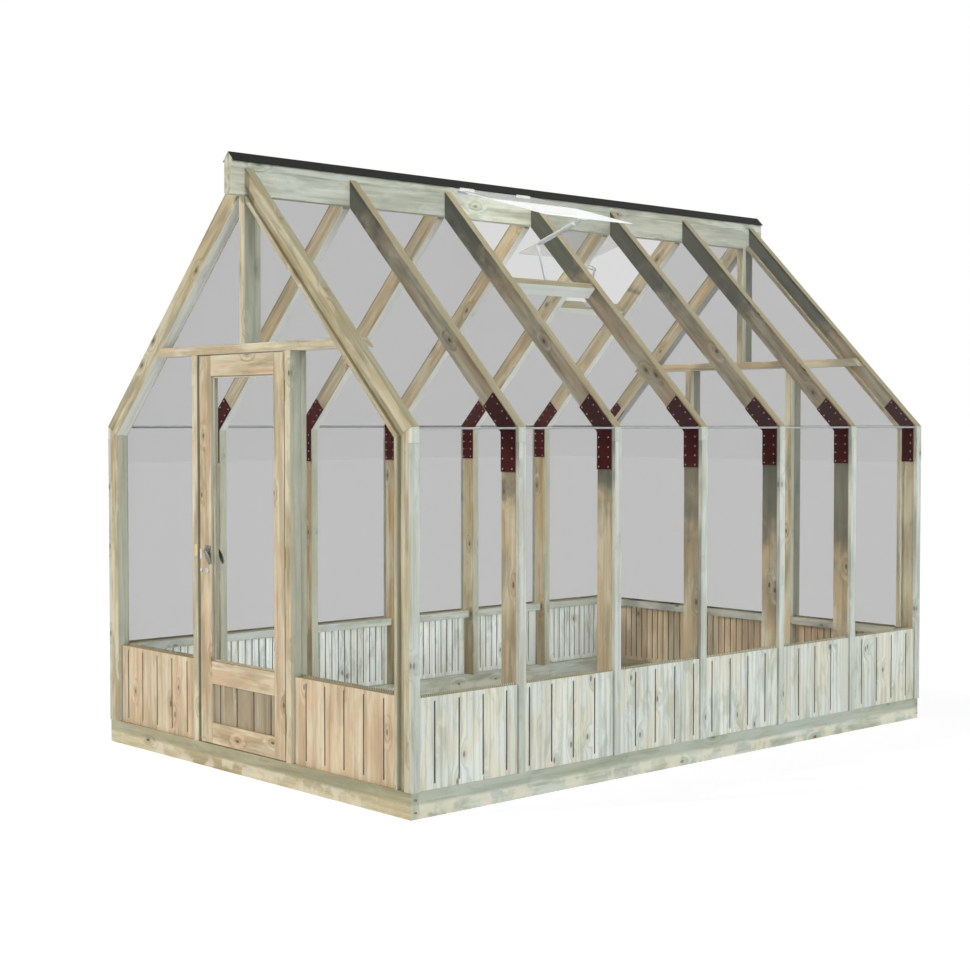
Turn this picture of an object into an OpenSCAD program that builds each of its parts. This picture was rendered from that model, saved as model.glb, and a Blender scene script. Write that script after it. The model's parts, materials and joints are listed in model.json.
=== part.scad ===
// Timber-framed glass greenhouse with a steep saddle roof, two roof vents and a hinged door.
// Millimetres, +Z up. The door gable faces -Y, the ridge runs along Y.

/* [Overall] */
// number of bays between frames along the building
bay_count = 6; // [5:1:8]
// distance from one frame to the next
bay_l = 645; // [500:5:900]
// width of the building over the cover strips
build_w = 2590; // [2200:10:3200]
// height of the eave, where wall and roof faces meet
eave_z = 1730; // [1500:10:2300]
// slope of the roof in degrees
roof_pitch = 45; // [35:1:50]

/* [Timber] */
// thickness of every frame member
frame_t = 45; // [35:1:60]
// depth of a wall post, without the cover strip
post_d = 97; // [70:1:120]
// depth of a rafter, square to the roof
rafter_d = 102; // [80:1:125]
// depth of the grooved rafter at the front right
grooved_rafter_d = 120; // [105:1:140]
// depth of the grooved post at the front right
grooved_post_d = 100; // [90:1:120]
// width of the plain post at the front left
plain_post_d = 71; // [60:1:90]
// thickness of a cover strip
strip_t = 24; // [18:1:30]
// height of the block on top of a cover strip
eave_block_h = 70; // [40:1:100]
// height of the base beams
base_h = 120; // [80:5:200]
// thickness of the base beams
base_t = 45; // [35:1:80]
// how far the side base beams lie behind the cover strips
base_inset = 10; // [0:1:20]
// thickness of the ridge beam
ridge_t = 60; // [50:1:80]
// height of the ridge beam
ridge_h = 203; // [150:1:240]
// height of the ridge peak over the meeting line of the roof faces
ridge_rise = 40; // [20:1:70]
// how far the ridge beam stands out past each gable
ridge_out = 80; // [20:5:150]
// half width of the sheet cap over the ridge
cap_half = 46; // [35:1:60]

/* [Boards and glass] */
// height of the top edge of the board panels
panel_z = 536; // [400:5:800]
// thickness of the boards
board_t = 20; // [14:1:28]
// height and thickness of the rail inside the top of a panel
rail_s = 45; // [30:1:60]
// thickness of a glass pane
glass_t = 4; // [3:0.5:8]
// depth of the boards behind the front face of a gable
board_in = 20; // [5:1:30]
// depth of the glass behind the front face of a gable
gable_glass_in = 60; // [50:1:80]
// width and depth of the glazing stops
stop_s = 22; // [12:1:24]

/* [Doorway] */
// left edge of the door leaf
leaf_x0 = -384; // [-450:1:-300]
// right edge of the door leaf
leaf_x1 = 345; // [300:1:450]
// top edge of the door leaf
leaf_z1 = 2087; // [1900:1:2300]
// thickness of the door leaf
leaf_t = 45; // [35:1:60]
// gap between the door leaf and the post on the handle side
latch_gap = 25; // [12:1:35]
// gap round the other edges of the door leaf
leaf_gap = 6; // [5:1:12]
// width of the stile on the handle side
latch_stile_w = 102; // [80:1:130]
// width of the stile on the hinge side
hinge_stile_w = 86; // [70:1:120]
// height of the top rail of the door
top_rail_h = 103; // [70:1:140]
// lower edge of the middle rail of the door
mid_rail_z = 430; // [300:1:700]
// height of the middle rail of the door
mid_rail_h = 115; // [80:1:150]
// height of the bottom rail of the door
bottom_rail_h = 106; // [80:1:150]
// depth of the door posts and king posts
door_post_d = 97; // [70:1:120]
// height of the door handle
handle_z = 1100; // [900:1:1200]

/* [Roof vents] */
// bay with the vent in the right roof face, counted from the door gable
right_vent_bay = 3; // [1:1:8]
// bay with the vent in the left roof face, counted from the door gable
left_vent_bay = 5; // [1:1:8]
// length of a vent pane down the slope
vent_l = 780; // [500:10:1000]
// how far a vent pane laps over the rafters on each side
vent_lap = 25; // [10:1:40]
// distance from the ridge to the trimmer, down the slope
trimmer_s = 678; // [400:1:900]
// depth of a trimmer
trimmer_d = 72; // [50:1:95]
// angle the vent panes stand open, away from the roof
vent_angle = 29.4; // [0:0.1:45]

/* [Gussets] */
// thickness of a gusset plate
gusset_t = 9; // [6:1:15]
// width of each leg of a gusset plate
gusset_w = 90; // [60:1:100]
// lower end of a gusset plate below the eave
gusset_down = 208; // [120:1:320]
// horizontal reach of a gusset plate up the rafter
gusset_up = 175; // [100:1:260]

/* [Hidden] */
$fn = 32;
seat = 0.3;
seg = 24;

half_w = build_w / 2;
build_l = bay_count * bay_l + frame_t;
front_y = -build_l / 2;
back_y = build_l / 2;
half_r = ridge_t / 2;
tan_p = tan(roof_pitch);
cos_p = cos(roof_pitch);
sin_p = sin(roof_pitch);
apex_z = eave_z + half_w * tan_p;
peak_z = apex_z + ridge_rise;
ridge_z0 = peak_z - ridge_h;
post_x1 = half_w - strip_t;
post_x0 = post_x1 - post_d;
groove_post_x0 = post_x1 - grooved_post_d;
plain_post_x0 = post_x1 - plain_post_d;
base_x = half_w - base_inset;
bay_gap = bay_l - frame_t;

// groove of the front right post and rafter
lip_w = 57;
groove_w = 50;
rafter_groove_w = 40;
groove_d = 20;

// roof glass lies this far under the outer faces of the rafters
roof_glass_in = 6;
roof_glass_out = roof_glass_in + glass_t;
roof_glass_x1 = half_w - 7;
wall_glass_x0 = post_x1;
wall_glass_x1 = post_x1 + glass_t;
board_x1 = half_w - 13;
board_x0 = board_x1 - board_t;

// transom and door posts
transom_z0 = leaf_z1 + leaf_gap;
transom_h = frame_t;
transom_z1 = transom_z0 + transom_h;
door_l_x1 = leaf_x0 - latch_gap;
door_l_x0 = door_l_x1 - frame_t;
door_r_x0 = leaf_x1 + leaf_gap;
door_r_x1 = door_r_x0 + frame_t;
leaf_z0 = base_h + leaf_gap;
transom_back_in = 12;
// the right stud of the back gable stands this far outside the line of the door post
stud_shift = 18;
stop_lap = 12;
stop_clear = 6;
door_stop_t = 22;

// hinges of the door
knuckle_r = 6;
hinge_x = (leaf_x1 + door_r_x0) / 2;
hinge_y = front_y - knuckle_r;
hinge_h = 100;
hinge_zs = [leaf_z0 + 180, (leaf_z0 + leaf_z1) / 2, leaf_z1 - 180];
hinge_leaf_t = 2.2;
hinge_leaf_d = 34;
plate_seat = 0.2;

// door handle
plate_w = 50;
plate_h = 58;
plate_t = 4;
lever_l = 70;
lever_w = 30;
lever_t = 9;
neck_r = 9;
neck_l = 12;
lock_r = 13;
lock_t = 7;
lock_drop = 97;
latch_w = 20;
latch_h = 52;
latch_t = 3;
bolt_out = 14;
bolt_w = 20;
strike_t = 4;
strike_w = 22;
strike_h = 60;
handle_x = leaf_x0 + 70;

// roof vents
vent_tilt = roof_pitch - vent_angle;
vent_x0 = half_r + 1;
vent_z0 = apex_z - 8;
vhinge_l = 90;
vhinge_r = 5;
vhinge_w = 46;
vhinge_t = 3;
vhinge_off = 210;
vhinge_drop = 2;
cap_t = 3;
cap_back = 5;

// vent openers, as offsets from the trimmer and along the pane
arm_r = 9;
tube_r = 13;
rod_r = 4;
joint_r = 13;
shoe_s = 30;
opener_y = -15;

// front face of frame i, counted from 0 at the door gable
function frame_y(i) = front_y + i * bay_l;
// height of the roof at x, depth d under its outer face
function roof_z(x, d) = apex_z - x * tan_p - d / cos_p;
// half width inside the roof at height z, depth d under its outer face
function roof_x(z, d) = (apex_z - z - d / cos_p) / tan_p;
// line where a post meets its rafter
function eave_joint_z(x, xi, d) = eave_z + (roof_z(xi, d) - eave_z) * (half_w - x) / (half_w - xi);
// point on the roof, s down the slope from the ridge beam and d under the outer face
function slope_pt(s, d) = [half_r + s * cos_p - d * sin_p, roof_z(half_r, 0) - s * sin_p - d * cos_p];

module xz(y0, d) {
    translate([0, y0 + d, 0])
        rotate([90, 0, 0])
            linear_extrude(height = d)
                children();
}

module box(x0, x1, y0, y1, z0, z1) {
    translate([x0, y0, z0])
        cube([x1 - x0, y1 - y0, z1 - z0]);
}

module left_of() {
    mirror([1, 0, 0])
        children();
}

module rear_of() {
    mirror([0, 1, 0])
        children();
}

module timber() {
    color([0.74, 0.69, 0.55])
        children();
}

module pale_timber() {
    color([0.76, 0.74, 0.64])
        children();
}

module plate() {
    color([0.24, 0.15, 0.13])
        children();
}

module pane() {
    color([0.82, 0.88, 0.88])
        children();
}

module bright_metal() {
    color([0.72, 0.73, 0.74])
        children();
}

// post of the right wall, from the base to the joint under the rafter
module post(y0, xi, d) {
    xz(y0, frame_t)
        polygon([[xi, base_h], [post_x1, base_h],
            [post_x1, eave_joint_z(post_x1, xi, d) - seat], [xi, eave_joint_z(xi, xi, d) - seat]]);
}

module rafter(y0, xi, d) {
    xz(y0, frame_t)
        polygon([[half_r, roof_z(half_r, 0)], [half_w, eave_z],
            [xi, roof_z(xi, d)], [half_r, roof_z(half_r, d)]]);
}

module cover_strip(y0) {
    box(post_x1, half_w, y0, y0 + frame_t, base_h, eave_z - eave_block_h);
}

module eave_block(y0, xi, d) {
    xz(y0, frame_t)
        polygon([[post_x1, eave_z - eave_block_h + seat], [half_w, eave_z - eave_block_h + seat],
            [half_w, eave_z - seat], [post_x1, eave_joint_z(post_x1, xi, d) - seat]]);
}

gz0 = eave_z - gusset_down;
gx1 = post_x1 - 3;
gx0 = gx1 - gusset_w;
g_in = roof_glass_out + 0.6;
g_end = half_w - gusset_up;

module gusset(y0) {
    xz(y0 - gusset_t, gusset_t)
        polygon([[gx0, gz0], [gx1, gz0], [gx1, roof_z(gx1, g_in)], [g_end, roof_z(g_end, g_in)],
            [g_end - gusset_w * sin_p, roof_z(g_end, g_in) - gusset_w * cos_p],
            [gx0, roof_z(gx0, g_in + gusset_w)]]);
}

module wall_board(y0) {
    box(board_x0, board_x1, y0 + seat, y0 + bay_gap - seat, base_h, panel_z);
}

// rail inside the top edge of the boards of the right wall
module wall_rail(y0) {
    box(board_x0 - rail_s, board_x0 - seat, y0 + seat, y0 + bay_gap - seat, panel_z - rail_s, panel_z);
}

// boards of a gable, from x0 to x1, at the front
module gable_board(x0, x1) {
    box(x0 + seat, x1 - seat, front_y + board_in, front_y + board_in + board_t, base_h, panel_z);
}

// rail inside the top edge of the boards of a gable
module gable_rail(x0, x1) {
    y0 = front_y + board_in + board_t;
    box(x0 + seat, x1 - seat, y0 + seat, y0 + rail_s, panel_z - rail_s, panel_z);
}

module wall_pane(y0) {
    box(wall_glass_x0 + seat, wall_glass_x1, y0 + seat, y0 + bay_gap - seat, panel_z + seat,
        roof_z(wall_glass_x1, roof_glass_out) - 1);
}

module roof_pane(y0, x0) {
    xz(y0 + seat, bay_gap - 2 * seat)
        polygon([[x0, roof_z(x0, roof_glass_in)], [roof_glass_x1, roof_z(roof_glass_x1, roof_glass_in)],
            [roof_glass_x1, roof_z(roof_glass_x1, roof_glass_out)], [x0, roof_z(x0, roof_glass_out)]]);
}

module roof_faces(vent_bay) {
    for (i = [0 : bay_count - 1])
        roof_pane(frame_y(i) + frame_t, i == vent_bay - 1 ? slope_pt(trimmer_s + 12, 0)[0] : half_r + seat);
}

// stop behind a gable post and rafter on the right, open where the transom passes,
// with a step in it, step_d deep, that clears a gusset plate
module stop_side(xi, d, step_d = 0) {
    difference() {
        xz(front_y + frame_t, stop_s)
            polygon([[xi, panel_z + seat], [xi + stop_s, panel_z + seat],
                [xi + stop_s, roof_z(xi + stop_s, d - stop_s)], [half_r + seat, roof_z(half_r + seat, d - stop_s)],
                [half_r + seat, roof_z(half_r + seat, d)], [xi, roof_z(xi, d)]]);
        box(0, half_w, front_y, front_y + door_post_d + 1, transom_z0 - seat, transom_z1 + seat);
        if (step_d > 0)
            xz(front_y + frame_t - 1, step_d + 1 + seat)
                polygon([[xi - 1, gz0 - 1], [half_w, gz0 - 1], [half_w, eave_z],
                    [g_end - 1, roof_z(g_end - 1, 0)],
                    [g_end - 1 - (d + stop_s) * sin_p, roof_z(g_end - 1, 0) - (d + stop_s) * cos_p]]);
    }
}

module transom(dl, dr) {
    xz(front_y, frame_t)
        polygon([[-roof_x(transom_z0, dl) + seat, transom_z0], [roof_x(transom_z0, dr) - seat, transom_z0],
            [roof_x(transom_z1, dr) - seat, transom_z1], [-roof_x(transom_z1, dl) + seat, transom_z1]]);
    xz(front_y + frame_t, door_post_d - frame_t)
        polygon([[-roof_x(transom_z0, transom_back_in), transom_z0], [roof_x(transom_z0, transom_back_in), transom_z0],
            [roof_x(transom_z1, transom_back_in), transom_z1], [-roof_x(transom_z1, transom_back_in), transom_z1]]);
}

module king_post() {
    box(-frame_t / 2, frame_t / 2, front_y, front_y + door_post_d, transom_z1, ridge_z0);
}

// pane of a gable beside the door or stud, from x0 out to the corner at xi, on the right
module side_pane(x0, xi, d) {
    xz(front_y + gable_glass_in, glass_t)
        polygon([[x0 + seat, panel_z + seat], [xi - seat, panel_z + seat],
            [xi - seat, roof_z(xi - seat, d) - seat], [roof_x(transom_z0, d) - 1, transom_z0 - seat],
            [x0 + seat, transom_z0 - seat]]);
}

// pane of a gable above the transom on the right
module top_pane(d) {
    xz(front_y + gable_glass_in, glass_t)
        polygon([[frame_t / 2 + seat, transom_z1 + seat], [roof_x(transom_z1, d) - 1, transom_z1 + seat],
            [half_r, roof_z(half_r, d) - 1], [frame_t / 2 + seat, roof_z(half_r, d) - 1]]);
}

// right vent pane
module vent_pane(bay) {
    y0 = frame_y(bay - 1) + frame_t;
    translate([vent_x0, y0 - vent_lap, vent_z0])
        rotate([0, vent_tilt, 0])
            cube([vent_l, bay_gap + 2 * vent_lap, glass_t]);
}

module vent_hinge(bay, off) {
    yc = frame_y(bay - 1) + frame_t + bay_gap / 2 + off;
    translate([half_r + vhinge_r + seat, yc - vhinge_l / 2, vent_z0 - vhinge_r - vhinge_drop])
        rotate([-90, 0, 0])
            cylinder(r = vhinge_r, h = vhinge_l, $fn = seg);
    translate([vent_x0, yc - vhinge_l / 2, vent_z0])
        rotate([0, vent_tilt, 0])
            translate([2, 0, -seat - vhinge_t])
                cube([vhinge_w, vhinge_l, vhinge_t]);
    box(half_r + seat, half_r + seat + vhinge_t, yc - vhinge_l / 2, yc + vhinge_l / 2,
        vent_z0 - 40, vent_z0 - vhinge_r);
}

module trimmer(bay) {
    y0 = frame_y(bay - 1) + frame_t;
    top_in = roof_glass_out + seat;
    xz(y0 + seat, bay_gap - 2 * seat)
        polygon([slope_pt(trimmer_s, top_in), slope_pt(trimmer_s + frame_t, top_in),
            slope_pt(trimmer_s + frame_t, top_in + trimmer_d), slope_pt(trimmer_s, top_in + trimmer_d)]);
}

// rod in the plane y, between two points [x, z]
module link(a, b, r) {
    v = b - a;
    translate([a[0], 0, a[1]])
        rotate([0, atan2(v[0], v[1]), 0])
            cylinder(r = r, h = norm(v), $fn = seg);
}

module knuckle(p, r, w) {
    translate([p[0], -w / 2, p[1]])
        rotate([-90, 0, 0])
            cylinder(r = r, h = w, $fn = seg);
}

// opener between the trimmer and the pane of the right vent
module opener(bay) {
    foot = slope_pt(trimmer_s - joint_r - seat, 36);
    elbow = foot + [-64, 206];
    reach = vent_l - 52;
    under = [vent_x0 + reach * cos(vent_tilt) - 17 * sin(vent_tilt),
        vent_z0 - reach * sin(vent_tilt) - 17 * cos(vent_tilt)];
    translate([0, frame_y(bay - 1) + frame_t + bay_gap / 2 + opener_y, 0]) {
        link(foot, elbow, arm_r);
        link(elbow, under, tube_r);
        link(foot + [2, 40], elbow + 0.45 * (under - elbow), rod_r);
        knuckle(foot, joint_r, 24);
        knuckle(elbow, joint_r, 30);
        knuckle(under, joint_r, 34);
        translate([under[0], -22, under[1]])
            rotate([0, vent_tilt, 0])
                translate([-shoe_s, 0, 8])
                    cube([2 * shoe_s, 44, 17 - 8 - seat]);
        translate([slope_pt(trimmer_s, 0)[0], -20, slope_pt(trimmer_s, 0)[1]])
            rotate([0, roof_pitch, 0])
                translate([-4 - seat, 0, -62])
                    cube([4, 40, 46]);
    }
}

module base_ends() {
    timber()
        for (y0 = [front_y, back_y - base_t])
            box(-base_x, base_x, y0, y0 + base_t, 0, base_h);
}

module base_sides() {
    timber()
        for (x0 = [-base_x, base_x - base_t])
            box(x0, x0 + base_t, front_y + base_t, back_y - base_t, 0, base_h);
}

module front_left_post() {
    timber()
        left_of()
            post(front_y, plain_post_x0, rafter_d);
}

module front_right_post() {
    timber()
        difference() {
            post(front_y, groove_post_x0, grooved_rafter_d);
            box(half_w - lip_w - groove_w, half_w - lip_w, front_y - 1, front_y + groove_d,
                base_h - 1, eave_z + 1);
        }
}

module back_posts() {
    timber() {
        post(frame_y(bay_count), post_x0, rafter_d);
        left_of()
            post(frame_y(bay_count), post_x0, rafter_d);
    }
}

module right_posts() {
    timber()
        for (i = [1 : bay_count - 1])
            post(frame_y(i), post_x0, rafter_d);
}

module left_posts() {
    timber()
        left_of()
            for (i = [1 : bay_count - 1])
                post(frame_y(i), post_x0, rafter_d);
}

module right_cover_strips() {
    timber()
        for (i = [0 : bay_count])
            cover_strip(frame_y(i));
}

module left_cover_strips() {
    timber()
        left_of()
            for (i = [0 : bay_count])
                cover_strip(frame_y(i));
}

module eave_blocks() {
    pale_timber() {
        eave_block(frame_y(0), groove_post_x0, grooved_rafter_d);
        left_of()
            eave_block(frame_y(0), plain_post_x0, rafter_d);
        for (i = [1 : bay_count]) {
            eave_block(frame_y(i), post_x0, rafter_d);
            left_of()
                eave_block(frame_y(i), post_x0, rafter_d);
        }
    }
}

module front_left_rafter() {
    timber()
        left_of()
            rafter(front_y, plain_post_x0, rafter_d);
}

module front_right_rafter() {
    timber()
        difference() {
            rafter(front_y, groove_post_x0, grooved_rafter_d);
            xz(front_y - 1, groove_d + 1)
                polygon([[half_r - 1, roof_z(half_r - 1, lip_w)],
                    [half_w - lip_w, roof_z(half_w - lip_w, lip_w)],
                    [half_w - lip_w, eave_z - post_d],
                    [half_w - lip_w - groove_w, eave_z - post_d],
                    [half_w - lip_w - groove_w, roof_z(half_w - lip_w - groove_w, lip_w + rafter_groove_w)],
                    [half_r - 1, roof_z(half_r - 1, lip_w + rafter_groove_w)]]);
        }
}

module right_rafters() {
    timber()
        for (i = [1 : bay_count])
            rafter(frame_y(i), post_x0, rafter_d);
}

module left_rafters() {
    timber()
        left_of()
            for (i = [1 : bay_count])
                rafter(frame_y(i), post_x0, rafter_d);
}

module right_gussets() {
    plate()
        for (i = [1 : bay_count])
            gusset(frame_y(i));
}

module left_gussets() {
    plate()
        left_of()
            for (i = [1 : bay_count])
                gusset(frame_y(i));
}

module ridge_beam() {
    timber()
        xz(front_y - ridge_out, build_l + 2 * ridge_out)
            polygon([[-half_r, ridge_z0], [half_r, ridge_z0], [half_r, peak_z - half_r * tan_p],
                [0, peak_z], [-half_r, peak_z - half_r * tan_p]]);
}

module ridge_cap() {
    color([0.14, 0.14, 0.13])
        xz(front_y - ridge_out + cap_back, build_l + 2 * ridge_out - 2 * cap_back)
            polygon([[0, peak_z + seat], [cap_half, peak_z + seat - cap_half * tan_p],
                [cap_half, peak_z + seat - cap_half * tan_p + cap_t / cos_p], [0, peak_z + seat + cap_t / cos_p],
                [-cap_half, peak_z + seat - cap_half * tan_p + cap_t / cos_p],
                [-cap_half, peak_z + seat - cap_half * tan_p]]);
}

module transoms() {
    timber() {
        transom(rafter_d, grooved_rafter_d);
        rear_of()
            transom(rafter_d, rafter_d);
    }
}

module king_posts() {
    timber() {
        king_post();
        rear_of()
            king_post();
    }
}

module door_posts() {
    timber() {
        box(door_l_x0, door_l_x1, front_y, front_y + door_post_d, base_h, transom_z0);
        box(door_r_x0, door_r_x1, front_y, front_y + door_post_d, base_h, transom_z0);
    }
}

// strips behind the edges of the leaf that close the gaps round it
module door_stops() {
    y0 = front_y + leaf_t + stop_clear;
    top = transom_z0 - seat;
    timber() {
        box(door_l_x1 + seat, leaf_x0 + stop_lap, y0, y0 + door_stop_t, base_h, top);
        box(leaf_x1 - stop_lap, door_r_x0 - seat, y0, y0 + door_stop_t, base_h, top);
    }
}

module back_studs() {
    timber()
        for (x0 = [door_l_x0, door_r_x0 + stud_shift])
            box(x0, x0 + frame_t, back_y - door_post_d, back_y, base_h, transom_z0);
}

module right_wall_boards() {
    timber()
        for (i = [0 : bay_count - 1])
            wall_board(frame_y(i) + frame_t);
}

module left_wall_boards() {
    timber()
        left_of()
            for (i = [0 : bay_count - 1])
                wall_board(frame_y(i) + frame_t);
}

module front_boards() {
    timber() {
        gable_board(-plain_post_x0, door_l_x0);
        gable_board(door_r_x1, groove_post_x0);
    }
}

module back_boards() {
    timber()
        rear_of() {
            gable_board(-post_x0, door_l_x0);
            gable_board(door_l_x1, door_r_x0 + stud_shift);
            gable_board(door_r_x1 + stud_shift, post_x0);
        }
}

module sill_rails() {
    timber() {
        for (i = [0 : bay_count - 1]) {
            wall_rail(frame_y(i) + frame_t);
            left_of()
                wall_rail(frame_y(i) + frame_t);
        }
        gable_rail(-plain_post_x0, door_l_x0);
        gable_rail(door_r_x1, groove_post_x0);
        rear_of() {
            gable_rail(-post_x0, door_l_x0);
            gable_rail(door_l_x1, door_r_x0 + stud_shift);
            gable_rail(door_r_x1 + stud_shift, post_x0);
        }
    }
}

module glazing_stops() {
    timber() {
        stop_side(groove_post_x0, grooved_rafter_d);
        left_of()
            stop_side(plain_post_x0, rafter_d);
        rear_of() {
            stop_side(post_x0, rafter_d, gusset_t);
            left_of()
                stop_side(post_x0, rafter_d, gusset_t);
        }
    }
}

module right_wall_glass() {
    pane()
        for (i = [0 : bay_count - 1])
            wall_pane(frame_y(i) + frame_t);
}

module left_wall_glass() {
    pane()
        left_of()
            for (i = [0 : bay_count - 1])
                wall_pane(frame_y(i) + frame_t);
}

module right_roof_glass() {
    pane()
        roof_faces(right_vent_bay);
}

module left_roof_glass() {
    pane()
        left_of()
            roof_faces(left_vent_bay);
}

module gable_glass() {
    pane() {
        side_pane(door_r_x1, groove_post_x0, grooved_rafter_d);
        top_pane(grooved_rafter_d);
        left_of() {
            side_pane(-door_l_x0, plain_post_x0, rafter_d);
            top_pane(rafter_d);
        }
        rear_of() {
            side_pane(door_r_x1 + stud_shift, post_x0, rafter_d);
            top_pane(rafter_d);
            left_of() {
                side_pane(-door_l_x0, post_x0, rafter_d);
                top_pane(rafter_d);
            }
            box(door_l_x1 + seat, door_r_x0 + stud_shift - seat, front_y + gable_glass_in,
                front_y + gable_glass_in + glass_t, panel_z + seat, transom_z0 - seat);
        }
    }
}

module vent_panes() {
    pane() {
        vent_pane(right_vent_bay);
        left_of()
            vent_pane(left_vent_bay);
    }
}

module vent_trimmers() {
    timber() {
        trimmer(right_vent_bay);
        left_of()
            trimmer(left_vent_bay);
    }
}

module vent_openers() {
    bright_metal() {
        opener(right_vent_bay);
        left_of()
            opener(left_vent_bay);
    }
}

module vent_hinges() {
    bright_metal() {
        for (off = [-vhinge_off, vhinge_off]) {
            vent_hinge(right_vent_bay, off);
            left_of()
                vent_hinge(left_vent_bay, off);
        }
    }
}

module door_stiles() {
    timber() {
        box(leaf_x0, leaf_x0 + latch_stile_w, front_y, front_y + leaf_t, leaf_z0, leaf_z1);
        box(leaf_x1 - hinge_stile_w, leaf_x1, front_y, front_y + leaf_t, leaf_z0, leaf_z1);
    }
}

module door_rail(z0, h) {
    box(leaf_x0 + latch_stile_w, leaf_x1 - hinge_stile_w, front_y, front_y + leaf_t, z0, z0 + h);
}

module door_rails() {
    timber() {
        door_rail(leaf_z0, bottom_rail_h);
        door_rail(mid_rail_z, mid_rail_h);
        door_rail(leaf_z1 - top_rail_h, top_rail_h);
    }
}

module door_glass() {
    pane()
        box(leaf_x0 + latch_stile_w + seat, leaf_x1 - hinge_stile_w - seat, front_y + leaf_t / 2,
            front_y + leaf_t / 2 + glass_t, mid_rail_z + mid_rail_h + seat, leaf_z1 - top_rail_h - seat);
}

module door_boards() {
    timber()
        box(leaf_x0 + latch_stile_w + seat, leaf_x1 - hinge_stile_w - seat, front_y + 14,
            front_y + 14 + board_t, leaf_z0 + bottom_rail_h + seat, mid_rail_z - seat);
}

// handle on a face of the leaf, on its plate
module handle() {
    box(handle_x - plate_w / 2, handle_x + plate_w / 2, -plate_t, 0, handle_z - plate_h / 2, handle_z + plate_h / 2);
    translate([handle_x, 0, handle_z])
        rotate([90, 0, 0])
            cylinder(r = neck_r, h = neck_l, $fn = seg);
    translate([handle_x, -neck_l, handle_z])
        rotate([0, 50, 0])
            hull() {
                translate([-4, -lever_t, -lever_w / 2])
                    cube([8, lever_t, lever_w]);
                translate([lever_l, 0, 0])
                    rotate([90, 0, 0])
                        cylinder(r = lever_w / 2.6, h = lever_t, $fn = seg);
            }
}

module door_handles() {
    bright_metal() {
        translate([0, front_y - seat, 0]) {
            handle();
            box(leaf_x0, leaf_x0 + latch_w, -latch_t, 0, handle_z - latch_h + 10, handle_z + 10);
            translate([handle_x - 4, 0, handle_z - lock_drop])
                rotate([90, 0, 0])
                    cylinder(r = lock_r, h = lock_t, $fn = seg);
        }
        translate([0, front_y + leaf_t + seat, 0])
            rear_of()
                handle();
        box(leaf_x0 - bolt_out, leaf_x0 - seat, front_y + 12, front_y + 12 + bolt_w,
            handle_z - bolt_w / 2, handle_z + bolt_w / 2);
    }
}

module door_hinges() {
    bright_metal()
        for (zc = hinge_zs) {
            translate([hinge_x, hinge_y, zc - hinge_h / 2])
                cylinder(r = knuckle_r, h = hinge_h, $fn = seg);
            box(leaf_x1 + plate_seat, leaf_x1 + plate_seat + hinge_leaf_t, hinge_y, front_y + hinge_leaf_d,
                zc - hinge_h / 2, zc + hinge_h / 2);
        }
}

// hinge plates on the right door post and the strike on the left one
module doorway_fittings() {
    bright_metal() {
        for (zc = hinge_zs)
            box(door_r_x0 - plate_seat - hinge_leaf_t, door_r_x0 - plate_seat, front_y + 1,
                front_y + hinge_leaf_d, zc - hinge_h / 2, zc + hinge_h / 2);
        box(door_l_x1 - strike_w, door_l_x1 + strike_t, front_y - strike_t, front_y - seat,
            handle_z - strike_h / 2, handle_z + strike_h / 2);
        box(door_l_x1 + seat, door_l_x1 + strike_t, front_y - strike_t, front_y + 40,
            handle_z - strike_h / 2, handle_z + strike_h / 2);
    }
}

base_ends();
base_sides();
front_left_post();
front_right_post();
back_posts();
left_posts();
right_posts();
left_cover_strips();
right_cover_strips();
eave_blocks();
front_left_rafter();
front_right_rafter();
left_rafters();
right_rafters();
left_gussets();
right_gussets();
ridge_beam();
ridge_cap();
transoms();
king_posts();
door_posts();
door_stops();
back_studs();
left_wall_boards();
right_wall_boards();
front_boards();
back_boards();
sill_rails();
glazing_stops();
left_wall_glass();
right_wall_glass();
left_roof_glass();
right_roof_glass();
gable_glass();
vent_panes();
vent_trimmers();
vent_openers();
vent_hinges();
door_stiles();
door_rails();
door_glass();
door_boards();
door_handles();
door_hinges();
doorway_fittings();
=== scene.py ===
import json
import math

import bmesh
import bpy
import numpy as np
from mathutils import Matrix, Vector


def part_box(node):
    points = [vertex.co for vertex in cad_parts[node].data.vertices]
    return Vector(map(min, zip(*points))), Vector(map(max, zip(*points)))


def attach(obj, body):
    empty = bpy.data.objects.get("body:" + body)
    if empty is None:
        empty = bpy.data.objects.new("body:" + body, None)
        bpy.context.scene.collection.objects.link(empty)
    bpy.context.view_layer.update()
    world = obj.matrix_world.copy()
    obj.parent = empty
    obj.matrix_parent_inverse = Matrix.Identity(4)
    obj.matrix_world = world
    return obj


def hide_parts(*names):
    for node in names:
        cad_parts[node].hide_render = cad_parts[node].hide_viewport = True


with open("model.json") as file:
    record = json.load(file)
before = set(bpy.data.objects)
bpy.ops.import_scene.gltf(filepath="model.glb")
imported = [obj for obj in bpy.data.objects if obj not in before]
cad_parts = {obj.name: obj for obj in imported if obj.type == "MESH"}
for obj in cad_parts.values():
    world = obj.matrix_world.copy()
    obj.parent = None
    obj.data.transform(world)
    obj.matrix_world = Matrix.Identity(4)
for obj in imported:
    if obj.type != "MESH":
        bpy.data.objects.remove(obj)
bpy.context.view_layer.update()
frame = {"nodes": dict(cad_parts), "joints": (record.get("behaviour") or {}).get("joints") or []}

bl_info = {
    "name": "Glass Greenhouse",
    "version": (1, 0, 0),
    "blender": (4, 5, 0),
    "location": "View3D > Sidebar > Greenhouse",
    "description": "Timber, boards, glass and fittings of a timber-framed greenhouse",
    "category": "Add Mesh",
}

MM = 0.001
# up, along the building, and towards the door gable
UP, ALONG, TO_FRONT = (0, 0, 1), (0, 1, 0), (0, -1, 0)


def mm(values):
    """Millimetres as metres."""
    return np.asarray(values, float) * MM


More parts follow.
